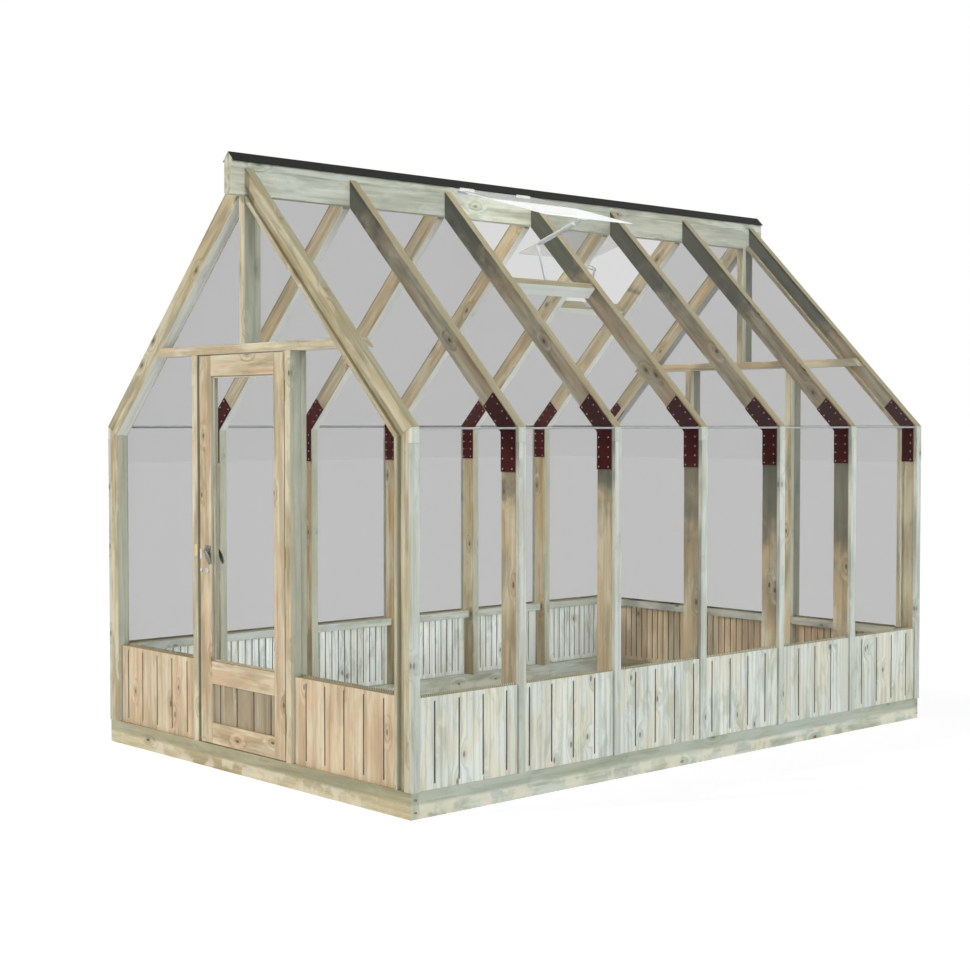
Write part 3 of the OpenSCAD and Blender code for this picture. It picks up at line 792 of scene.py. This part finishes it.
class StageSettings(bpy.types.PropertyGroup):
    """Floor, lamps, world and camera."""
    key: number_setting("Key", "Strength of the warm lamp towards the door gable", 1.65, 0, 10)
    fill: number_setting("Fill", "Strength of the cool lamp towards the long side", 1.85, 0, 10)
    sky: number_setting("Sky", "Strength of the light from all round", 0.42, 0, 2)
    lens: number_setting("Lens", "Focal length", 63.47, 20, 200, unit="CAMERA")
    spot: bpy.props.FloatVectorProperty(
        name="Camera place", description="Where the camera stands",
        default=(7.018, -6.743, 1.745), subtype="TRANSLATION", unit="LENGTH")
    back: bpy.props.FloatVectorProperty(
        name="Camera back", description="Direction from the object to the camera",
        default=(0.7386, -0.6733, 0.0358), subtype="DIRECTION")


# ---------------------------------------------------------------- timber pieces

BOARD_TOP = {"aged": tone(164, 150, 104), "topside": 0.9, "painted_side_light": 0.0}
# material, light and warm colour, what else differs, and the nodes that have it
TIMBERS = (
    ("base end timber", tone(198, 190, 162), tone(186, 174, 142),
     {"dark": tone(120, 112, 84), "knots": 1.2, "topside": 0.3, "band": 1.0}, ("base_ends",)),
    # base side timber is a cool, pale copy of the base end timber: painted cool light of the long sides
    ("base side timber", tone(204, 208, 198), tone(196, 196, 178),
     {"dark": tone(134, 136, 114), "knots": 1.2, "topside": 0.3, "painted_side_light": 0.1, "band": 1.0},
     ("base_sides",)),
    ("gable timber", tone(208, 199, 172), tone(202, 182, 150), {"stain": tone(156, 152, 128)},
     ("transoms", "door_posts", "back_studs", "front_left_post")),
    ("planed timber", None, None, {},
     ("front_right_post", "king_posts", "front_left_rafter", "front_right_rafter",
      "back_posts")),
    ("inner timber", tone(192, 182, 154), tone(184, 164, 128), {},
     ("left_posts", "vent_trimmers")),
    # the shaded copies carry a painted shadow on their faces towards the door gable
    ("shaded post timber", tone(206, 195, 168), tone(200, 180, 146),
     {"painted_shade": 0.8, "painted_shade_from": 1.05, "lean": 0.16}, ("right_posts",)),
    ("rafter timber", tone(190, 181, 156), tone(184, 166, 134), {"topside": 0.75},
     ("left_rafters",)),
    ("shaded rafter timber", tone(202, 191, 166), tone(196, 175, 145),
     {"topside": 0.75, "painted_shade": 0.85, "painted_shade_from": 2.34, "lean": 0.08}, ("right_rafters",)),
    # strip timber is a cool, pale copy of the timber: painted cool light of the long sides
    ("strip timber", tone(196, 199, 192), tone(186, 187, 175),
     {"dark": tone(130, 133, 116), "figure": 0.8, "knots": 0.8, "painted_side_light": 0.1},
     ("left_cover_strips", "right_cover_strips", "sill_rails")),
    ("ridge timber", tone(199, 198, 184), tone(190, 185, 165),
     {"dark": tone(112, 112, 94), "knots": 0.8, "painted_side_light": 0.2}, ("ridge_beam",)),
    ("stop timber", tone(196, 184, 154), tone(186, 170, 136), {"figure": 0.6, "knots": 0.4},
     ("glazing_stops",)),
    # the door stops are painted dark: painted shade in the gap round the door
    ("door stop timber in painted shade", tone(126, 102, 78), tone(112, 88, 64),
     {"dark": tone(84, 66, 48), "figure": 0.5, "knots": 0.4}, ("door_stops",)),
)
SLENDER = ("glazing_stops", "door_stops")


class GREENHOUSE_OT_timbers(bpy.types.Operator):
    """Planes every frame timber and lays its grain"""
    bl_idname = "greenhouse.timbers"
    bl_label = "Frame Timbers"

    def execute(self, context):
        ease = context.scene.greenhouse_timber.ease
        seed = 11
        for name, light, warm, more, nodes in TIMBERS:
            material = timber_material(name, light, warm, **more)
            for node in nodes:
                seed += 1
                share = 0.5 if node in SLENDER else 1.0
                planed(node, material, "building", ease * share, seed)
        return {"FINISHED"}


class GREENHOUSE_OT_base_fixings(bpy.types.Operator):
    """Screws the corners of the base together, two low screw heads a corner"""
    bl_idname = "greenhouse.base_fixings"
    bl_label = "Base Fixings"

    def execute(self, context):
        inset, heights = 22 * MM, (32 * MM, 88 * MM)
        at = [(side * HALF_W, y, z) for side in (1, -1)
              for y in (FRONT_Y + inset, BACK_Y - inset) for z in heights]
        dull = coated_material("dull screw", tone(92, 88, 74), tone(120, 112, 92), 0.4, 0.6,
                               metallic=0.3)
        add_screws("base_screws", screw_head(5, 0.7), at, outward(at), dull)
        return {"FINISHED"}


class GREENHOUSE_OT_door_frame(bpy.types.Operator):
    """Planes the stiles and rails of the door and adds the beads round its glass"""
    bl_idname = "greenhouse.door_frame"
    bl_label = "Door Frame"

    def execute(self, context):
        ease = context.scene.greenhouse_timber.ease
        door = timber_material("door timber", tone(206, 193, 165), tone(198, 175, 145),
                               tone(130, 108, 78), stain=tone(166, 156, 132))
        planed("door_stiles", door, "door", ease, 71)
        planed("door_rails", door, "door", ease, 72)
        a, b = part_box("door_glass")
        size = 9 * MM
        front, back = low("door_stiles").y + 12 * MM, a.y - 0.4 * MM
        sides = ((a.x, a.x + size, a.z, b.z), (b.x - size, b.x, a.z, b.z),
                 (a.x + size, b.x - size, a.z, a.z + size),
                 (a.x + size, b.x - size, b.z - size, b.z))
        shapes = [eased_box((x0, front, z0), (x1, back, z1), 2 * MM) for x0, x1, z0, z1 in sides]
        beads = new_piece("door_glass_beads", joined(*shapes), "door", door)
        lay_grain(beads.data, 73)
        return {"FINISHED"}


class GREENHOUSE_OT_boards(bpy.types.Operator):
    """Builds the board panels with their routed joints"""
    bl_idname = "greenhouse.boards"
    bl_label = "Board Panels"

    def execute(self, context):
        s, cool = context.scene.greenhouse_boards, context.scene.greenhouse_timber.cool
        # the right wall boards take the cool wood: painted cool light of the long side
        side = timber_material("side boards", cool, tone(208, 202, 184), tone(142, 144, 128),
                               0.9, 0.8, **BOARD_TOP)
        # the left wall boards are a paler copy of the side boards: painted light on their inner faces,
        # seen through the glass
        painted_lit_side = timber_material("side boards in painted light", tone(238, 241, 236),
                                     tone(232, 231, 221), tone(150, 154, 140), 0.9, 0.8,
                                     **BOARD_TOP)
        gable = timber_material("gable boards", tone(211, 197, 170), tone(205, 182, 153),
                                tone(140, 120, 90), 0.9, 0.8, stain=tone(178, 162, 136),
                                **BOARD_TOP)
        door = timber_material("door boards", tone(168, 155, 132), tone(158, 142, 116),
                               tone(112, 96, 70), 0.8, 0.8)
        margin = mm((25, 20))
        side_start = FRONT_Y + 141 * MM
        gable_starts = {-1: -1132 * MM, 1: 487 * MM}
        plan = (
            ("left_wall_boards", painted_lit_side, "building", side_start, margin, 81),
            ("right_wall_boards", side, "building", side_start, margin, 82),
            ("front_boards", gable, "building", None, margin, 83),
            ("back_boards", gable, "building", None, margin, 84),
            ("door_boards", door, "door", -228 * MM, (0, 0), 85),
        )
        for node, material, body, start, edge, seed in plan:
            shapes, labels, joint_shade, count = [], [], [], 0
            for a, b in solids(node):
                first = gable_starts[side_of(a, b)] if start is None else start
                verts, faces, depth = board_panel(a, b, s.pitch, first, s.width, s.depth, edge)
                board = np.floor((verts[:, 1 - thin_axis(a, b)] - first) / s.pitch + 1e-6)
                labels.append((board - board.min()).astype(int) + count)
                count = labels[-1].max() + 1
                joint_shade.append(depth)
                shapes.append((verts, faces))
            panel = new_piece(node + "_grooved", joined(*shapes), body, material)
            lay_grain(panel.data, seed, run="Z", part=np.concatenate(labels))
            # the joint depth darkens the boards as painted shade in the joints
            lay(panel.data, "joint", np.concatenate(joint_shade))
            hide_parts(node)
        return {"FINISHED"}


class GREENHOUSE_OT_eave_blocks(bpy.types.Operator):
    """Planes the pale blocks over the cover strips and screws them on"""
    bl_idname = "greenhouse.eave_blocks"
    bl_label = "Eave Blocks"

    def execute(self, context):
        pale = timber_material("pale timber", tone(212, 213, 203), tone(200, 200, 186),
                               tone(150, 150, 130), 0.5, 0.3, tone(176, 174, 156))
        ease = context.scene.greenhouse_timber.ease
        mesh = planed("eave_blocks", pale, "building", ease, 91).data
        # the outer faces go in a little, to leave room for the screw heads
        head = 1.1 * MM
        co = corners(mesh)
        outer = np.abs(co[:, 0]) > HALF_W - 6 * MM
        co[:, 0] -= np.sign(co[:, 0]) * np.where(outer, head, 0)
        mesh.vertices.foreach_set("co", co.ravel())
        at = [(side_of(a, b) * (HALF_W - head), (a[1] + b[1]) / 2, z)
              for a, b in solids("eave_blocks") for z in (a[2] + 17 * MM, b[2] - 20 * MM)]
        add_screws("eave_block_screws", screw_head(4.2, 1.0), at, outward(at),
                   zinc_steel(context))
        return {"FINISHED"}


# ---------------------------------------------------------------- glass

class GREENHOUSE_OT_glass(bpy.types.Operator):
    """Gives every pane its glass and lays the joint strips at the eaves"""
    bl_idname = "greenhouse.glass"
    bl_label = "Glass"

    def execute(self, context):
        s = context.scene.greenhouse_glass
        clear = pane_material("greenhouse glass", s.tint, s.ior)
        # the vent panes let only part of the light through and are white and diffuse for the rest: a
        # painted sheen in place of the sky reflected on the vent glass
        vent = pane_material("vent glass", s.vent_tint, s.ior, s.vent_haze, 0.55)
        for node in ("left_wall_glass", "right_wall_glass", "left_roof_glass",
                     "right_roof_glass", "gable_glass", "door_glass", "vent_panes"):
            mesh = frame["nodes"][node].data
            mesh.materials.clear()
            mesh.materials.append(vent if node == "vent_panes" else clear)
        # in (x, z): a leg up the wall pane, then a lip over the foot of the roof pane
        wall_top, roof_low = high("right_wall_glass").z, low("right_roof_glass").z
        inner, leg = high("right_wall_glass").x + 0.2 * MM, 6 * MM
        outer = inner + 1.6 * MM
        lip = mm(((0.6, 2), (1.6, 4), (0.6, 5), (-0.4, 3))) + (high("right_roof_glass").x,
                                                              roof_low)
        outline = [(inner, wall_top - leg), (outer, wall_top - leg), (outer, roof_low - 3 * MM),
                   *lip, (inner, roof_low - 1 * MM)]
        shapes = [extruded([(side * x, z) for x, z in outline], a[1] + 1 * MM, b[1] - 1 * MM)
                  for a, b in solids("right_wall_glass") for side in (1, -1)]
        strip = coated_material("joint strip", tone(178, 180, 179), tone(190, 188, 178), 0.3,
                                0.5)
        new_piece("eave_joint_strips", joined(*shapes), "building", strip)
        return {"FINISHED"}


class GREENHOUSE_OT_glazing_seals(bpy.types.Operator):
    """Lays the notched seal along the foot of every wall and gable pane that stands on the boards"""
    bl_idname = "greenhouse.glazing_seals"
    bl_label = "Glazing Seals"

    def execute(self, context):
        notch = context.scene.greenhouse_glass.notch
        tooth_shares = np.array([0.0, 0.12, 0.52, 0.64])
        tall, thin, thick = 10 * MM, 0.8, 2.6
        seals, notches = [], []
        for node in ("left_wall_glass", "right_wall_glass", "gable_glass"):
            for a, b in solids(node):
                if a[2] > PANEL_Z + 10 * MM:
                    continue
                out = thin_axis(a, b)
                side = 1 if a[out] + b[out] > 0 else -1
                start = np.arange(a[1 - out] + 2 * MM, b[1 - out] - notch, notch)
                tooth = np.tile([0.0, 1.0, 1.0, 0.0], len(start))
                back = np.zeros((2, len(tooth), 3))
                back[..., out] = side * (max(abs(a[out]), abs(b[out])) + 0.1 * MM)
                back[..., 1 - out] = (start[:, None] + tooth_shares * notch).ravel()
                back[..., 2] = np.array([a[2], a[2] + tall])[:, None]
                front = back.copy()
                front[..., out] += side * (thin + (thick - thin) * tooth) * MM
                seals.append(slab(front, back))
                notches.append(np.tile(1 - tooth, 4))
        rubber = timber_material("glazing seal", tone(200, 193, 166), tone(182, 172, 140),
                                 tone(140, 124, 84), 0.5, 0.0, (0.30, 0.25, 0.15), painted_side_light=0.0)
        seal = new_piece("glazing_seals", joined(*seals), "building", rubber)
        lay_grain(seal.data, 99, run="Y", part=np.zeros(len(seal.data.vertices), int))
        # the notches darken as painted shade
        lay(seal.data, "joint", np.concatenate(notches))
        return {"FINISHED"}


# ---------------------------------------------------------------- fittings

class GREENHOUSE_OT_gussets(bpy.types.Operator):
    """Finishes the gusset plates and screws them to posts and rafters"""
    bl_idname = "greenhouse.gussets"
    bl_label = "Gusset Plates"

    def execute(self, context):
        plate = coated_material("painted plate", context.scene.greenhouse_fittings.gusset,
                                tone(110, 44, 40), 0.12, 0.6, depth=0.4, gloss=0.12)
        width, inset, pitch, knee = mm((90, 13, 48, 148))
        down = np.array([1, -1]) / math.sqrt(2)
        inward = np.array([-1, -1]) / math.sqrt(2)
        at = []
        for node in ("left_gussets", "right_gussets"):
            planed(node, plate, "building", 0.8 * MM, 95)
            for a, b in solids(node):
                side, outer = side_of(a, b), max(abs(a[0]), abs(b[0]))
                for x in (outer - inset, outer - width + inset):
                    for z in a[2] + inset + pitch * np.arange(4):
                        at.append((side * x, a[1], z))
                top = np.array([outer - knee, b[2]])
                for across, count in ((inset, 4), (width - inset, 3)):
                    for along in inset + pitch * np.arange(count):
                        x, z = top + down * along + inward * across
                        at.append((side * x, a[1], z))
        add_screws("gusset_screws", screw_head(4.0, 1.8, 8), at, TO_FRONT, zinc_steel(context))
        return {"FINISHED"}


class GREENHOUSE_OT_ridge_cap(bpy.types.Operator):
    """Folds the sheet over the ridge and fixes it with screws"""
    bl_idname = "greenhouse.ridge_cap"
    bl_label = "Ridge Cap"

    def execute(self, context):
        a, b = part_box("ridge_cap")
        half, top = b.x, b.z
        thick, bend = 3 * MM * math.sqrt(2), 2.2 * MM
        # in (x, z): the outer face from the bend to the edge, and the hem inside it
        outer = [(0, top - bend * 0.5), (bend * 0.45, top - bend * 0.62), (bend, top - bend),
                 (half, top - half)]
        hem = mm(((-0.1, 0.2), (-9, 7.5), (-9.6, 9.6))) + (half, top - half - thick)
        right = np.array([*outer, *hem])
        left = right[:0:-1] * (-1, 1)
        outline = np.concatenate([right, [(0, top - thick)], left])
        outline[:, 1] = np.maximum(outline[:, 1], a.z)
        sheet = coated_material("ridge sheet", context.scene.greenhouse_fittings.sheet,
                                tone(60, 60, 54), 0.12, 0.55, gloss=0.12)
        cap = new_piece("ridge_cap_folded", extruded(outline, a.y, b.y), "building",
                        sheet)
        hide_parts("ridge_cap")
        inset, count, x = 60 * MM, 9, half * 0.62
        at = [(side * x, y, top - x + 0.2 * MM)
              for y in np.linspace(a.y + inset, b.y - inset, count) for side in (1, -1)]
        add_screws("ridge_cap_screws", screw_head(5, 2.4), at, outward(at, 1), sheet,
                   ALONG)
        return {"FINISHED"}


# turned profiles: radius in millimetres, and place as a share of the length
OPENER_ARM = ((0, 0), (9, 0), (9, 0.06), (8, 0.08), (8, 0.92), (9, 0.94), (9, 1), (0, 1))
OPENER_CYLINDER = ((0, 0), (8, 0), (8, 0.06), (12.2, 0.065), (13, 0.08), (13, 0.86),
                   (12, 0.875), (9, 0.88), (6.5, 0.89), (6.5, 1.0), (0, 1.0))
TRIMMER_DOWN = 678 * MM
VENT_LENGTH = 780 * MM
VENT_DROP = math.radians(15.6)


def bar(a, b, profile, sides=20):
    """A turned bar from a to b. The building's own direction sets its turn, so it
    can't run along the building."""
    length = np.linalg.norm(b - a)
    return placed(turned([(r * MM, t * length) for r, t in profile], sides), a, b - a, ALONG)


def slope_point(down, depth, y):
    """A point of the right slope: down from the ridge beam, and deep in from the
    outer face of the roof."""
    c, start = math.cos(SLOPE), 30 * MM
    return np.array([start + (down - depth) * c, y, APEX_Z - start - (down + depth) * c])


def opener(y):
    """One piston opener of the right slope: an arm from the trimmer up to the
    elbow, a cylinder from the elbow to the pane, and the plates at both ends."""
    foot = slope_point(TRIMMER_DOWN - 13.3 * MM, 36 * MM, y)
    elbow = foot + mm((-64, 0, 206))
    c, s = math.cos(VENT_DROP), math.sin(VENT_DROP)
    reach, below = VENT_LENGTH - 52 * MM, 17 * MM
    head = np.array([31 * MM + reach * c - below * s, y,
                     APEX_Z - 8 * MM - reach * s - below * c])
    shoe = eased_box(mm((-30, -22, 8)), mm((30, 22, 16.5)), 1.5 * MM)
    plate = eased_box(mm((-4.3, -20, -62)), mm((-0.3, 20, -16)), 1 * MM)
    return joined(bar(foot, elbow, OPENER_ARM), bar(elbow, head, OPENER_CYLINDER),
                  tilted(shoe, head, VENT_DROP),
                  tilted(plate, slope_point(TRIMMER_DOWN, 0, y), SLOPE))


class GREENHOUSE_OT_vent_gear(bpy.types.Operator):
    """Builds the openers under the vents and finishes the vent hinges"""
    bl_idname = "greenhouse.vent_gear"
    bl_label = "Vent Gear"

    def execute(self, context):
        steel = zinc_steel(context)
        shapes = [on_side(opener((a[1] + b[1]) / 2), side_of(a, b))
                  for a, b in solids("vent_openers")]
        gear = new_piece("vent_openers_detailed", joined(*shapes), "building",
                         steel)
        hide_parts("vent_openers")
        cleats = []
        cleat = eased_box(mm((20, -45, 0.2)), mm((44, 45, 7)), 1.5 * MM)
        spread = 210 * MM
        for a, b in sorted(solids("vent_panes"), key=lambda pane: -side_of(*pane)):
            tilt = math.atan2(b[2] - a[2], b[0] - a[0])
            for y in ((a[1] + b[1]) / 2 - spread, (a[1] + b[1]) / 2 + spread):
                top = (min(abs(a[0]), abs(b[0])), y, b[2])
                cleats.append(on_side(tilted(cleat, top, tilt), side_of(a, b)))
        pale = coated_material("hinge cleat", tone(226, 226, 216), tone(200, 198, 184), 0.3,
                               0.45)
        new_piece("vent_hinge_cleats", joined(*cleats), "building", pale)
        mesh = frame["nodes"]["vent_hinges"].data
        mesh.materials.clear()
        mesh.materials.append(steel)
        return {"FINISHED"}


# turned profiles in millimetres: radius and height
LEVER_NECK = ((0, 0), (15, 0), (15, 6), (13.5, 8), (9, 9.5), (9, 12), (11.5, 13), (11.5, 20),
              (10, 21), (0, 21))
LOCK = ((0, 0), (13, 0), (13, 4.5), (11.8, 6.5), (8.6, 7), (8.4, 6.2), (0, 6.2))
HANDLE_IN, HANDLE_Z = 70 * MM, 1100 * MM
ROSE_THICK, BARREL_R = 4 * MM, 6 * MM


def lever_arm(x, face, z, out):
    """A door lever from its neck: a rounded bar along a gently bent line, wider
    and thinner on its way and closed to a round tip."""
    t = np.linspace(0, 1, 22)
    lean = math.radians(50) + math.radians(10) * (t - 0.5)
    reach, bow = 78 * MM, np.sin(math.pi * t)
    path = np.stack([x + reach * t * np.cos(lean), face + out * mm(16.5 + 1.5 * bow),
                     z - reach * t * np.sin(lean)], -1)
    tip = np.sqrt(np.clip(1 - ((t - 0.94) / 0.06).clip(0, 1) ** 2, 0.02, 1))
    half = np.stack([mm(4.4 - 1.2 * t) * tip, mm(11.0 + 4.0 * bow) * tip], -1)
    return carried(rounded_outline(20, 2.6)[None] * half[:, None], path, UP)


def hinge_barrel(length):
    """Turned barrel of a butt hinge: five knuckles with a groove after each."""
    r, groove, knuckle = BARREL_R, 0.84, 0.188
    profile = [(0, 0), (r * 0.8, 0)]
    for k in range(5):
        z0, z1 = (length * (0.03 + n * knuckle) for n in (k, k + 1))
        profile += [(r, z0 + 1 * MM), (r, z1 - 1 * MM), (r * groove, z1 - 0.4 * MM),
                    (r * groove, z1 + 0.4 * MM)]
    return turned(profile[:-2] + [(r * 0.8, length), (0, length)], 20)


class GREENHOUSE_OT_door_furniture(bpy.types.Operator):
    """Builds the levers, lock, bolt, strike plate and door hinges"""
    bl_idname = "greenhouse.door_furniture"
    bl_label = "Door Furniture"

    def execute(self, context):
        s = context.scene.greenhouse_fittings
        steel = zinc_steel(context)
        dark = coated_material("lever metal", s.lever, tone(140, 138, 130), 0.35, 0.36,
                               metallic=0.6)
        leaf_a, leaf_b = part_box("door_stiles")
        edge, x, z = leaf_a.x, leaf_a.x + HANDLE_IN, HANDLE_Z
        small, hole_x, hole_z = screw_head(2.8, 1.2), 18 * MM, 22 * MM
        levers, roses, screws = [], [], []
        for face, out in ((leaf_a.y, -1), (leaf_b.y, 1)):
            y0, y1 = sorted((face, face + out * ROSE_THICK))
            roses.append(eased_box((x - 25 * MM, y0, z - 29 * MM), (x + 25 * MM, y1, z + 29 * MM),
                                   1.4 * MM))
            levers.append(placed(turned(mm(LEVER_NECK), 28), (x, face, z), (0, out, 0)))
            levers.append(lever_arm(x, face, z, out))
            for dz in (-hole_z, hole_z):
                for dx in (-hole_x, hole_x):
                    at = (x + dx, face + out * ROSE_THICK, z + dz)
                    screws.append(placed(small, at, (0, out, 0)))
        front = leaf_a.y
        grip, rim, lock_z = (x, front, z), (edge, front, z), z - 97 * MM
        key = box_at(grip, (-5.2, -6.6, -103), (-2.8, -5, -91), 0.4)
        bolt = box_at(rim, (-14, 12, -10), (-0.3, 32, 10), 1.5)
        latch = box_at(rim, (0.2, -3, -42), (20, 0, 10), 1)
        lock = placed(turned(mm(LOCK), 28), (x - 4 * MM, front, lock_z), TO_FRONT)
        rim_lock = placed(turned(mm(LOCK) * (0.7, 1), 20), (edge + 14 * MM, front, lock_z),
                          TO_FRONT)
        latch_screws = [placed(screw_head(2.8, 1.0), rim + mm((10, -3, dz)), TO_FRONT)
                        for dz in (-35, 3)]
        for name, shapes, material, smooth in (
                ("door_lock", (latch, bolt, lock, rim_lock, *latch_screws, *screws), steel,
                 False),
                ("door_lever_plates", roses, dark, False),
                ("door_levers", (*levers, key), dark, True)):
            piece = new_piece(name, joined(*shapes), "door", material, smooth)
            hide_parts("door_handles")

        joint = frame["joints"][0]["pos_m"]
        hinges = []
        for a, b in solids("door_hinges"):
            barrel = hinge_barrel(b[2] - a[2])
            hinges.append(placed(barrel, (joint[0], joint[1], a[2]), UP, ALONG))
            hinges.append(eased_box((leaf_b.x + 0.2 * MM, a[1] + BARREL_R, a[2]),
                                    (leaf_b.x + 2.4 * MM, b[1], b[2]), 0.6 * MM))
        painted = coated_material("hinge steel", tone(184, 170, 132), tone(160, 148, 118), 0.4,
                                  0.5, metallic=0.3)
        hinge = new_piece("door_hinges_detailed", joined(*hinges), "door",
                          painted)
        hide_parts("door_hinges")
        brass = coated_material("brass plate", s.brass, tone(180, 170, 140), 0.35, 0.32,
                                metallic=0.6)
        planed("doorway_fittings", brass, "building", 0.5 * MM, 97)
        a, b = [strike for strike in solids("doorway_fittings") if strike[1][0] < 0][0]
        at = [(a[0] + 7 * MM, a[1], z) for z in (a[2] + 10 * MM, b[2] - 10 * MM)]
        add_screws("strike_screws", screw_head(3.2, 1.2), at, TO_FRONT, steel)
        return {"FINISHED"}


# ---------------------------------------------------------------- stage

def seen_directly(tree):
    """1 for light paths that come from the camera, a mirror or through glass."""
    path = wires(tree, "LightPath")
    return maths(tree, "MAXIMUM", path["Is Camera Ray"],
                 maths(tree, "MAXIMUM", path["Is Glossy Ray"], path["Is Transmission Ray"]))


class GREENHOUSE_OT_stage(bpy.types.Operator):
    """Sets the floor, the lamps, the world and the camera"""
    bl_idname = "greenhouse.stage"
    bl_label = "Stage"

    def execute(self, context):
        scene = context.scene
        s = scene.greenhouse_stage

        def stand(name, data, towards=None, front="Z"):
            obj = bpy.data.objects.new(name, data)
            if towards is not None:
                obj.rotation_mode = "QUATERNION"
                obj.rotation_quaternion = Vector(towards).to_track_quat(front, "Y")
            scene.collection.objects.link(obj)
            return obj

        size = 60.0
        mesh = bpy.data.meshes.new("floor")
        mesh.from_pydata([(-size, -size, 0), (size, -size, 0), (size, size, 0),
                          (-size, size, 0)], [], [(0, 1, 2, 3)])
        material, t = new_material("pale floor")
        cloud = noise(own_place(t), 0.6, 2.0, 0.5)
        matt = wire(t, "BsdfPrincipled", {
            "Base Color": mix(cloud, (0.80, 0.80, 0.80), (0.84, 0.84, 0.84)),
            "Roughness": 0.9, "Specular IOR Level": 0.0})
        glow = wire(t, "Emission", {"Color": (1, 1, 1), "Strength": 1.5})
        share = seen_directly(t) * 0.27 + 0.25
        add(t, "OutputMaterial", {0: wire(t, "MixShader", {0: share, 1: matt, 2: glow})})
        mesh.materials.append(material)
        stand("floor", mesh)

        world = bpy.data.worlds.new("studio")
        scene.world = world
        world.use_nodes = True
        t = world.node_tree
        t.nodes.clear()
        soft = wire(t, "Background", {"Color": (0.97, 0.99, 1.0), "Strength": s.sky})
        white = wire(t, "Background", {"Color": (1, 1, 1), "Strength": 1.0})
        both = wire(t, "MixShader", {0: seen_directly(t), 1: soft, 2: white})
        add(t, "OutputWorld", {0: both})

        for name, strength, tint, towards, soften in (
                ("key", s.key, (1.0, 0.92, 0.80), (-0.41, -0.82, 0.41), 3),
                ("fill", s.fill, (0.86, 0.95, 1.0), (0.98, -0.03, 0.16), 25)):
            lamp = bpy.data.lights.new(name, "SUN")
            lamp.energy, lamp.color, lamp.angle = strength, tint, math.radians(soften)
            stand(name, lamp, towards)

        camera = bpy.data.cameras.new("camera")
        camera.lens, camera.sensor_width = s.lens, 36
        camera.clip_start, camera.clip_end = 0.1, 200
        scene.camera = stand("camera", camera, -Vector(s.back), "-Z")
        scene.camera.location = s.spot
        scene.view_settings.view_transform = "Standard"
        return {"FINISHED"}


# ---------------------------------------------------------------- panel and registration

OPERATORS = (
    GREENHOUSE_OT_timbers, GREENHOUSE_OT_base_fixings, GREENHOUSE_OT_door_frame,
    GREENHOUSE_OT_boards, GREENHOUSE_OT_eave_blocks, GREENHOUSE_OT_glass,
    GREENHOUSE_OT_glazing_seals, GREENHOUSE_OT_gussets, GREENHOUSE_OT_ridge_cap,
    GREENHOUSE_OT_vent_gear, GREENHOUSE_OT_door_furniture, GREENHOUSE_OT_stage)
SETTINGS = (("greenhouse_timber", TimberSettings), ("greenhouse_boards", BoardSettings),
            ("greenhouse_glass", GlassSettings), ("greenhouse_fittings", FittingSettings),
            ("greenhouse_stage", StageSettings))


class GREENHOUSE_PT_panel(bpy.types.Panel):
    """Settings and builders of the greenhouse"""
    bl_label = "Glass Greenhouse"
    bl_idname = "GREENHOUSE_PT_panel"
    bl_space_type = "VIEW_3D"
    bl_region_type = "UI"
    bl_category = "Greenhouse"

    def draw(self, context):
        for name, kind in SETTINGS:
            column = self.layout.column(align=True)
            column.label(text=kind.__doc__)
            for key in kind.__annotations__:
                column.prop(getattr(context.scene, name), key)
        for operator in OPERATORS:
            self.layout.operator(operator.bl_idname)


def register():
    for name, kind in SETTINGS:
        bpy.utils.register_class(kind)
        setattr(bpy.types.Scene, name, bpy.props.PointerProperty(type=kind))
    for kind in (*OPERATORS, GREENHOUSE_PT_panel):
        bpy.utils.register_class(kind)


def unregister():
    for kind in (GREENHOUSE_PT_panel, *reversed(OPERATORS)):
        bpy.utils.unregister_class(kind)
    for name, kind in reversed(SETTINGS):
        delattr(bpy.types.Scene, name)
        bpy.utils.unregister_class(kind)


def main():
    register()
    for operator in OPERATORS:
        group, name = operator.bl_idname.split(".")
        if getattr(getattr(bpy.ops, group), name)() != {"FINISHED"}:
            raise RuntimeError(operator.bl_label + " did not finish")


if __name__ == "__main__":
    main()
